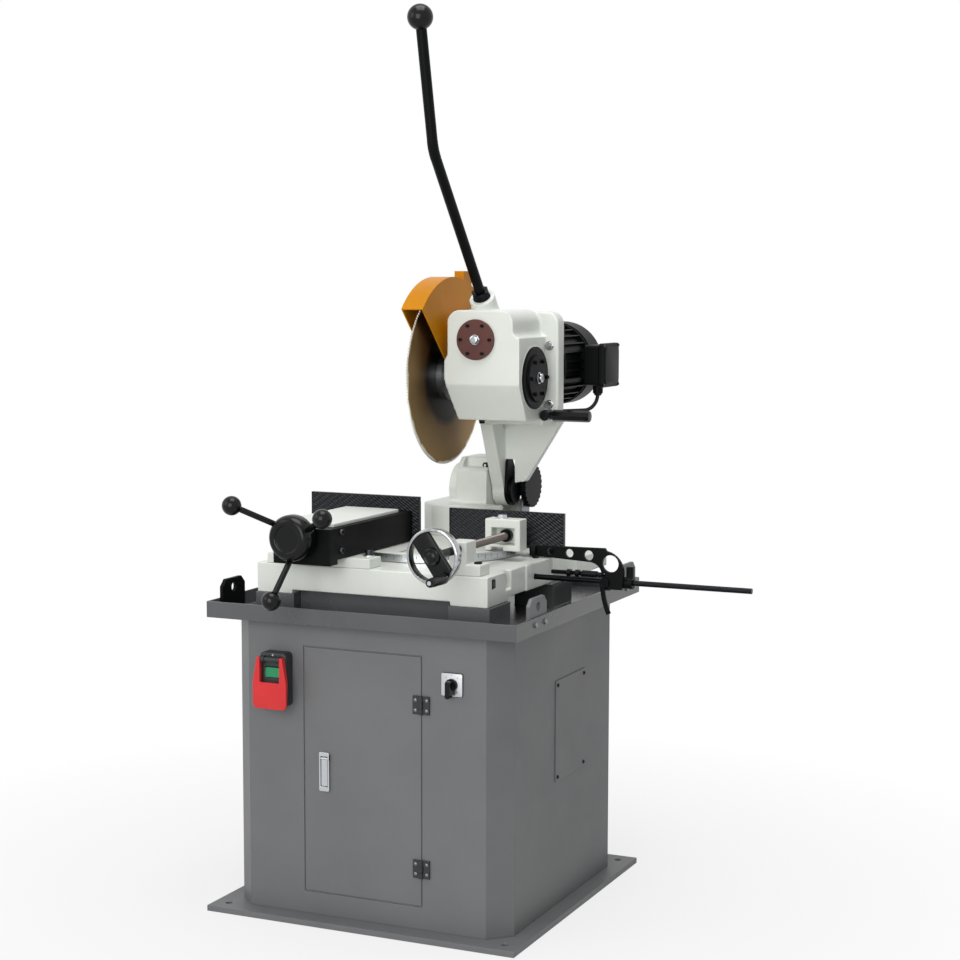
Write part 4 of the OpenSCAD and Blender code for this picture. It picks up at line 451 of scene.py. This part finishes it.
def serrated_fence(side, name):
    """One fence plate whose front has slanting ridges, crossed by shallow cuts the other way."""
    pitch_mm, ridge_mm, cut_mm = (4.8, 3.2), 1.4, 0.6
    spots = [v.co for v in frame["nodes"]["fence_plates"].data.vertices if v.co.x * side > 0]
    low = Vector([min(p[i] for p in spots) for i in range(3)])
    span = Vector([max(p[i] for p in spots) for i in range(3)]) - low
    cols, rows = (round(length / (step * MM)) for length, step in zip((span.x, span.z), pitch_mm))
    work = bmesh.new()
    grid = []
    for i in range(cols + 1):
        column = []
        for j in range(rows + 1):
            valley = (i + j) % 2 or i in (0, cols) or j in (0, rows)
            depth = ridge_mm if valley else cut_mm if (i - j) % 4 else 0
            column.append(work.verts.new(low + Vector((span.x * i / cols, depth * MM, span.z * j / rows))))
        grid.append(column)
    for i in range(cols):
        for j in range(rows):
            a, b, c, d = grid[i][j], grid[i + 1][j], grid[i + 1][j + 1], grid[i][j + 1]
            work.faces.new((a, b, d))
            work.faces.new((b, c, d))
    back = [work.verts.new(low + Vector((span.x * x, span.y, span.z * z)))
            for x, z in ((0, 0), (1, 0), (1, 1), (0, 1))]
    runs = [[line[0] for line in grid], grid[cols], [line[rows] for line in reversed(grid)], grid[0][::-1]]
    for k, run in enumerate(runs):
        work.faces.new(run + [back[(k + 1) % 4], back[k]])
    work.faces.new(back)
    bmesh.ops.recalc_face_normals(work, faces=work.faces)
    piece(name, work, FENCE, "fence_plates", smooth_deg=3)


serrated_fence(-1, "serrated_fence_left")
serrated_fence(1, "serrated_fence_right")


def degree_marks():
    """Marks round the degree ring, longer at each 5 and 10 degrees, wide enough to show."""
    edge_mm, thick_mm = 0.8, 0.2
    low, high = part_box("scale_ring")
    middle, reach = (low + high) / 2, (high.x - low.x) / 2
    work = bmesh.new()
    for degree in range(-90, 91):
        long_mm = 11 if degree % 10 == 0 else 8 if degree % 5 == 0 else 5
        wide_mm = 1.0 if degree % 5 == 0 else 0.6
        turn = Matrix.Rotation(math.radians(degree), 3, "Z")
        drop = (edge_mm + long_mm / 2) * MM
        spot = middle + turn @ Vector((0, -reach, 0)) + UP * (high.z - middle.z - drop)
        size = mm(wide_mm, thick_mm, long_mm)
        bmesh.ops.create_cube(work, size=1.0, matrix=Matrix.LocRotScale(spot, turn, size))
    piece("degree_marks", work, INK, "scale_ring", stands_for=False)


degree_marks()

# Vise hub: a barrel with a flat ring and a sunk disc in front, and its screw behind
HUB_L = 45
hub = centre_of("vise_hub")
hub.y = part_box("vise_hub")[0].y + HUB_L * MM
turned("vise_hub_barrel", [hub], FRONT,
       [(29, 0), (29, 9), (42.5, 9), (44.8, 10.2), (45.4, 13), (45.5, 26), (44.8, 32), (43, 37), (40, 41.5),
        (37.5, 43.6), (35.5, 44.5), (28, 44.8), (26.4, 44.2), (25.6, 42.8), (24.6, 42.2), (3, 41.8)],
       PHENOLIC, "vise_hub", sides=72, smooth_deg=22)
vise_screw_l = (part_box("vise_hub")[1].y - hub.y) / MM
turned("vise_screw", [hub], -FRONT, thread(11, 0, vise_screw_l, 5), OXIDE, "vise_hub")

# Handwheel: rim chromed outside and black inside, black web with its boss, turning grip with its bolt's end
RIM_INSIDE = 46.7 * MM
axis_at = centre_of("clamp_screw")
axis_at.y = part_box("clamp_screw")[0].y
grip = centre_of("handwheel_grip")
web_line = Vector((grip.x - axis_at.x, 0, grip.z - axis_at.z)).normalized()
rim = turned("handwheel_rim", [axis_at], FRONT,
             [(46.6, 2), (46.8, 4), (48.2, 5.8), (50, 6), (52, 5.4), (53.2, 3.6), (53.5, 1), (53.5, -11),
              (52.6, -13.4), (50, -14), (47.2, -13.6), (46.5, -12)], CHROME, "handwheel", sides=96,
             looped=True)
rim.data.materials.append(PHENOLIC)
for face in rim.data.polygons:
    out = face.center - axis_at
    face.material_index = int(math.hypot(out.x, out.z) < RIM_INSIDE)
slab("handwheel_web", axis_at, web_line, FRONT.cross(web_line), (93, 40, 9), 8, 2.5, PHENOLIC, "handwheel")
turned("handwheel_boss", [axis_at], FRONT,
       [(18, -11), (18, 6), (17, 9), (14.5, 10.4), (13, 9.4), (9.5, 9.2), (8.2, 10.2), (2, 10.6)], PHENOLIC,
       "handwheel")
grip.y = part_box("handwheel_grip")[1].y
turned("handwheel_grip_barrel", [grip], FRONT,
       [(8.4, 0), (9.6, 2.5), (10, 9), (9.3, 34), (8.9, 55), (8.3, 63), (7, 66.4), (4.4, 66.6), (4.2, 65.6)],
       PHENOLIC, "handwheel_grip")
turned("handwheel_grip_bolt", [grip], FRONT,
       [(4, 65), (4, 67), (3.4, 67.5), (1.8, 67.6), (1.5, 66.8)], BRIGHT, "handwheel_grip", stands_for=False)

# Side clamp: dark shank, rolled thread and dark collar of the screw, and the bolt on the jaw
SCREW_R, SCREW_PITCH, PLAIN_L, SHANK_L, COLLAR_L = 7.9, 4, 60, 130, 12
screw_l = (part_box("clamp_screw")[1].y - axis_at.y) / MM
collar_at = screw_l - COLLAR_L
turned("clamp_screw_shank", [axis_at], -FRONT,
       [(SCREW_R, 0), (SCREW_R, PLAIN_L)] + thread(SCREW_R, PLAIN_L, SHANK_L, SCREW_PITCH), OXIDE,
       "clamp_screw")
turned("clamp_screw_thread", [axis_at], -FRONT, thread(SCREW_R, SHANK_L, collar_at, SCREW_PITCH), ROLLED,
       "clamp_screw")
turned("clamp_screw_collar", [axis_at], -FRONT,
       [(7, collar_at), (12.2, collar_at), (13, collar_at + 0.8), (13, screw_l - 0.8), (12.2, screw_l)],
       OXIDE, "clamp_screw")
jaw_low, jaw_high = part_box("clamp_jaw")
jaw_bolt = Vector((axis_at.x, (jaw_low.y + jaw_high.y) / 2, jaw_high.z)) - mm(9, 0, 7)
turned("clamp_jaw_bolt", [jaw_bolt], UP,
       [(12, 0), (12, 1.3), (10.4, 1.3, 6), (10.4, 6.4, 6), (8.8, 7.2), (3, 7.2)], BRIGHT, "clamp_jaw",
       stands_for=False)

# Bar stop: the fine adjuster's thread and nuts, and the clamp block's screw
adjuster = centre_of("stop_adjuster")
adjuster.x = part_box("stop_adjuster")[0].x
turned("stop_adjuster_thread", [adjuster], RIGHT,
       thread(4.5, 0, 34, 2) + [(8, 34, 6), (8, 42, 6)] + thread(4.5, 42, 52, 2) + [(8, 52, 6), (8, 60, 6)]
       + thread(4.5, 60, 66, 2) + [(6.5, 66), (6.5, 97.7), (4.5, 97.7), (4.5, 109.4)], OXIDE,
       "stop_adjuster")
block_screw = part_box("stop_clamp")[0] + mm(15, 3, 10)
turned("stop_block_screw", [block_screw], FRONT, socket_head(5, 5), OXIDE, "stop_clamp", stands_for=False)

# Gearbox covers: socket screws, a rim under the spindle's cover, and nuts that turn clear of the covers
WORM_SCREW_INSET, SPIN_SCREW_INSET, NUT_GAP = 9 * MM, 11 * MM, 0.4 * MM
worm = centre_of("worm_cover")
worm.y, worm_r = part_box("worm_cover")[0].y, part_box("worm_cover")[1].x - worm.x
spin = centre_of("spindle_cover")
spin.x, spin_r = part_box("spindle_cover")[1].x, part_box("spindle_cover")[1].y - spin.y
sixths = [math.radians(60 * i) for i in range(6)]
round_worm = [worm + (worm_r - WORM_SCREW_INSET) * Vector((math.cos(a), 0, math.sin(a))) for a in sixths]
round_spin = [spin + (spin_r - SPIN_SCREW_INSET) * Vector((0, math.cos(a), math.sin(a))) for a in sixths]
turned("worm_cover_screws", round_worm, FRONT, socket_head(3.5, 4), OXIDE, "head_fasteners", sides=24)
turned("spindle_cover_screws", round_spin, RIGHT, socket_head(4, 6), OXIDE, "head_fasteners", sides=24)
turned("worm_end_nut", [worm + NUT_GAP * FRONT], FRONT,
       [(10.5, 0), (10.5, 1), (9.6, 1, 6), (9.6, 6, 6), (8.6, 6.8), (8.3, 8.2), (7.4, 8.6), (3.6, 8.6, 6),
        (3.6, 5, 6)], CHROME, "worm_shaft", stands_for=False)
turned("spindle_end_nut", [spin + NUT_GAP * RIGHT], RIGHT,
       [(12, 0), (12, 1), (10.6, 1, 6), (10.6, 5.6, 6), (9.4, 6.4), (9.2, 7.4), (8, 7.9), (4, 7.9, 6),
        (4, 4, 6)], CHROME, "spindle", stands_for=False)
flange = Vector((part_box("spindle_cover")[0].x, spin.y, spin.z))
turned("spindle_cover_flange", [flange], RIGHT,
       [(64.4, -5), (64.4, 1.2), (63.2, 2.4), (51, 2.6), (50, 3.4), (40, 3.4)], BLACK, "spindle_cover",
       stands_for=False, sides=72)

# Head: bolts of the motor flange, the feed lever's lock nut, the drain plug below
FLANGE_BOLTS = [mm(209, 138, 1019.3), mm(209, 138, 1141.3)]
LEVER_FOOT, LEVER_LEAN = mm(95, 48, 1242.3), math.radians(38.8)
DRAIN_PLUG = mm(86, 70, 990)
lever_line = Vector((0, -math.sin(LEVER_LEAN), math.cos(LEVER_LEAN)))
turned("motor_flange_bolts", FLANGE_BOLTS, FRONT, hexagon_head(8.6, 7.6), CHROME, "head_fasteners")
turned("lever_lock_nut", [LEVER_FOOT], lever_line,
       [(18.6, 0), (19.6, 1.2, 6), (19.6, 14.6, 6), (16.6, 16), (10.6, 16), (10.6, 1)], OXIDE,
       "head_fasteners")
turned("gearbox_drain_plug", [DRAIN_PLUG], -UP,
       [(7, 0), (7, 4), (6.4, 4, 6), (6.4, 9, 6), (5.4, 9.8)], OXIDE, "head_fasteners")

# Lock handle: hub on the flange, thick grip to the right
LOCK_HUB_R, LOCK_GRIP_R = 11, 12
lock_low, lock_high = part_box("lock_handle")
lock = Vector((lock_low.x + LOCK_HUB_R * MM, lock_high.y, (lock_low.z + lock_high.z) / 2))
lock_grip = Vector((lock.x, lock_low.y + LOCK_GRIP_R * MM, lock.z))
turned("lock_handle_hub", [lock], FRONT,
       [(8, 0), (8, 8), (LOCK_HUB_R, 8), (LOCK_HUB_R, 36), (9.6, 37.7), (4, 37.7), (3.6, 36)], OXIDE,
       "lock_handle")
turned("lock_handle_grip", [lock_grip], RIGHT,
       [(8, 4), (8, 17, 8), (LOCK_GRIP_R, 17, 8), (LOCK_GRIP_R, 94, 8), (11, 97.4, 8), (7, 98)], PHENOLIC,
       "lock_handle", sides=48)

# Pivot: cap with a socket on the teardrop plate's boss
CAP_SINK = 6 * MM
pivot = JOINT_AT["head_pivot"].copy()
pivot.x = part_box("pivot_shaft")[1].x - CAP_SINK
turned("pivot_boss_cap", [pivot], RIGHT,
       [(29, 0), (29, 4), (27, 6.2), (14, 6.6), (12, 5.8), (8, 5.8, 6), (8, 3, 6)], BLACK, "pivot_shaft",
       stands_for=False)

# Return spring, wound round the adjuster's shaft from the block to the strap
TURNS, TURN_PARTS, COIL_R, WIRE_R, COIL_RISE = 4, 48, 17, 3, 4
coil_low, coil_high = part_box("return_spring")
coil_x0, coil_run = coil_low.x + WIRE_R * MM, coil_high.x - coil_low.x - 2 * WIRE_R * MM
coil_y, coil_z = (coil_low.y + coil_high.y) / 2, JOINT_AT["head_pivot"].z + COIL_RISE * MM
coil_path = []
for i in range(TURN_PARTS * TURNS + 1):
    angle = math.tau * i / TURN_PARTS
    coil_path.append(Vector((coil_x0 + coil_run * i / (TURN_PARTS * TURNS),
                             coil_y + COIL_R * MM * math.cos(angle),
                             coil_z + COIL_R * MM * math.sin(angle))))
swept("wound_spring", coil_path, WIRE_R, RIGHT, OXIDE, "return_spring")

# Stand screws: hinge pins and leaf screws, panel screws, lug bolts
HINGE_X, HINGE_Y, LEAF_Y, HINGE_ZS, HINGE_H, LEAF_REACH = 125.25, -301.0, -300.5, (116, 441), 36, 12
turned("hinge_pins", [mm(HINGE_X, HINGE_Y, z) for z in HINGE_ZS], UP, [(2, 0), (2, HINGE_H)], DULL,
       "stand_fasteners", sides=16)
for node, side in (("door_hinge_leaves", -1), ("frame_hinge_leaves", 1)):
    turned(node + "_screws",
           [mm(HINGE_X + side * LEAF_REACH, LEAF_Y, z + up) for z in HINGE_ZS for up in (8, 28)], FRONT,
           pan_head(3.4, 1.4), DULL, node, stands_for=False, sides=24)
PANEL_INSET = 10 * MM
panel_low, panel_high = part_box("service_panel")
turned("panel_screws", [Vector((panel_high.x, y, z))
                        for y in (panel_low.y + PANEL_INSET, panel_high.y - PANEL_INSET)
                        for z in (panel_low.z + PANEL_INSET, panel_high.z - PANEL_INSET)], RIGHT,
       pan_head(4, 2.6), OXIDE, "stand_fasteners", sides=24)
LUG_X, LUG_Z, LUG_HALF, LUG_YS = 338.5, 622, 23.5, {-1: (-244, 286), 1: (-214, 286)}
for side, name in ((-1, "left_lug_bolts"), (1, "right_lug_bolts")):
    turned(name, [mm(side * LUG_X, y + step, LUG_Z) for y in LUG_YS[side] for step in (-LUG_HALF, LUG_HALF)],
           RIGHT * side, hexagon_head(5.6, 3.9), DULL, "stand_fasteners")

# Bolts and keys on the bed, the vise and the column
BED_BOLTS = [mm(-23, -230, 733), mm(-209, -246, 733)]
BRACKET_BOLT, COLUMN_SCREW, SIDE_KEY = mm(223, -249, 735), mm(42, 205, 881.3), mm(250, -242.5, 696)
turned("bed_bolts", BED_BOLTS, UP, socket_head(8, 12), SCREW, "stand_fasteners")
turned("bracket_bolt", [BRACKET_BOLT], UP,
       [(8, 0), (8, 2.6), (7.4, 3.4), (4.4, 3.6, 6), (4.4, 0.8, 6)], OXIDE, "stand_fasteners")
turned("bed_bolt_washers", BED_BOLTS, UP, [(12, 0), (12, 1.4), (11.6, 1.8), (8.2, 1.8), (8.2, 0.2)], BRIGHT,
       "stand_fasteners", stands_for=False)
carriage_low, carriage_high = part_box("vise_carriage")
carriage_edge = Vector((carriage_high.x, carriage_low.y, carriage_high.z))
turned("vise_side_screws", [carriage_edge + mm(-5, 46, -down) for down in (10, 46)], RIGHT,
       [(6.4, 3), (6.4, 7.6), (5.6, 8.8), (3.4, 9, 6), (3.4, 6.4, 6)], SCREW, "vise_carriage",
       stands_for=False)
turned("column_stop_screw", [COLUMN_SCREW], FRONT,
       [(6.2, 0), (6.2, 21.6), (5.4, 22.4), (3, 22.4, 6), (3, 18, 6)], OXIDE, "column", stands_for=False)
slab("bed_side_key", SIDE_KEY, -FRONT, UP, (15, 16, 8), 2, 0.6, OXIDE, "bed_casting", stands_for=False)

# Terminal box: raised panel and screws of its lid, the seal where the lead leaves it
LID_Y, LID_Z, LID_SCREW_Y, LID_SCREW_Z = 314 * MM, 1096.3 * MM, 43, 42
lid = Vector((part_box("terminal_box")[1].x, LID_Y, LID_Z))
slab("terminal_lid_panel", lid, -FRONT, UP, (84, 82, 5), 13, 2, BLACK, "terminal_box", stands_for=False)
turned("terminal_lid_screws", [lid + mm(0, y, z) for y in (-LID_SCREW_Y, LID_SCREW_Y)
                               for z in (-LID_SCREW_Z, LID_SCREW_Z)], RIGHT, pan_head(3.4, 2), SCREW,
       "terminal_box", stands_for=False, sides=24)
turned("terminal_gland_seal", [LEAD_START], UP, [(4.6, -5), (7, -4), (9.4, 0.5), (4.4, 1)], RUBBER,
       "terminal_box", stands_for=False)

# Spring adjuster: its strap is bare steel, disc and shaft are black
STRAP_X = (90.5 * MM, 97.5 * MM)
strap = softened("spring_adjuster", 0.5)
strap.data.materials.append(DULL)
for face in strap.data.polygons:
    face.material_index = int(STRAP_X[0] < face.center.x < STRAP_X[1])

# Switch: sleeve round the paddle's pin, the cover's screw; selector: bright plate with its position marks
SLEEVE_R, SLEEVE_L, COVER_Y, COVER_SCREW_DROP, MARK_REACH = 4.7, 27.6, -324.5 * MM, 5.5 * MM, 18.8 * MM
box_low, box_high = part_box("switch_box")
switch_x = (box_low.x + box_high.x) / 2
paddle_pin = JOINT_AT["paddle_pivot"]
turned("paddle_pin_sleeve", [Vector((switch_x - SLEEVE_L / 2 * MM, paddle_pin.y, paddle_pin.z))], RIGHT,
       [(SLEEVE_R, 0), (SLEEVE_R, SLEEVE_L)], SWITCH, "switch_box", stands_for=False)
turned("switch_cover_screw", [Vector((switch_x, COVER_Y, box_high.z - COVER_SCREW_DROP))], FRONT,
       pan_head(2.2, 1.2), BRIGHT, "switch_box", stands_for=False, sides=24)
dial = JOINT_AT["selector_turn"].copy()
dial.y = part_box("selector_switch")[0].y
slab("selector_plate", dial, RIGHT, UP, (44.4, 44.4, 0.4), 3, 0.15, BRIGHT, "selector_switch",
     stands_for=False)
for angle in (50, 90, 130):
    turn = math.radians(angle)
    spot = dial + MARK_REACH * Vector((math.cos(turn), 0, math.sin(turn))) + mm(0, -0.2, 0)
    slab("selector_mark_%d" % angle, spot, RIGHT, UP, (1.4, 2.2, 0.1), 0.5, 0.02, INK, "selector_switch",
         stands_for=False)


def seen_share(tree):
    """1 for rays from the camera, a mirror or glass, 0 for those that carry light to the machine."""
    path = add(tree, "ShaderNodeLightPath").outputs
    mirrored = add(tree, "ShaderNodeMath", {0: path["Is Glossy Ray"], 1: path["Is Transmission Ray"]},
                   operation="MAXIMUM")
    shown = add(tree, "ShaderNodeMath", {0: path["Is Camera Ray"], 1: mirrored.outputs["Value"]},
                operation="MAXIMUM")
    return shown.outputs["Value"]


# Studio floor: pale matt sheet with the machine's shadow, which fades to white away from it
FLOOR_HALF, FLOOR_DROP = 15.0, 0.0005
floor_material, tree, shader = new_material("pale_studio_floor")
shader.inputs["Base Color"].default_value = linear("#CDCDCD")
shader.inputs["Roughness"].default_value = 0.9
glow = add(tree, "ShaderNodeEmission", Color=linear("#FFFFFF"))
place = add(tree, "ShaderNodeTexCoord")
away = add(tree, "ShaderNodeVectorMath", {0: place.outputs["Object"]}, operation="LENGTH")
fade = add(tree, "ShaderNodeMapRange", {"Value": away.outputs["Value"]}, From_Min=0.4, From_Max=1.5,
           To_Min=0.78, To_Max=1.0)
share = add(tree, "ShaderNodeMath", {0: seen_share(tree), 1: fade.outputs["Result"]}, operation="MULTIPLY")
blend = add(tree, "ShaderNodeMixShader", {"Fac": share.outputs["Value"], 1: shader.outputs["BSDF"],
                                          2: glow.outputs["Emission"]})
tree.links.new(blend.outputs["Shader"], tree.nodes["Material Output"].inputs["Surface"])
sheet = bmesh.new()
bmesh.ops.create_grid(sheet, x_segments=1, y_segments=1, size=FLOOR_HALF)
bmesh.ops.translate(sheet, vec=(0, 0, -FLOOR_DROP), verts=sheet.verts)
floor_mesh = bpy.data.meshes.new("studio_floor")
sheet.to_mesh(floor_mesh)
sheet.free()
floor_mesh.materials.append(floor_material)
floor = bpy.data.objects.new("studio_floor", floor_mesh)
bpy.context.collection.objects.link(floor)

# Surroundings: white to look at and in reflections, dim as a source of light
WORLD_FILL = 0.27
world = bpy.data.worlds.new("white_studio")
world.use_nodes = True
bpy.context.scene.world = world
tree = world.node_tree
power = add(tree, "ShaderNodeMapRange", {"Value": seen_share(tree)}, To_Min=WORLD_FILL, To_Max=1.0)
tree.links.new(power.outputs["Result"], tree.nodes["Background"].inputs["Strength"])
tree.nodes["Background"].inputs["Color"].default_value = linear("#FFFFFF")


def lamp(name, place, size, watts):
    """A soft square lamp turned to the machine's middle."""
    middle = Vector((0, 0, 0.8))
    light = bpy.data.lights.new(name, "AREA")
    light.size = size
    light.energy = watts
    obj = bpy.data.objects.new(name, light)
    bpy.context.collection.objects.link(obj)
    obj.location = place
    obj.rotation_euler = (middle - Vector(place)).to_track_quat("-Z", "Y").to_euler()


lamp("key_lamp", (0.5, -4.0, 1.7), 2.4, 79)
lamp("left_lamp", (-2.6, -2.6, 2.4), 2.0, 22)
lamp("top_lamp", (0.3, -0.5, 3.8), 2.0, 64)
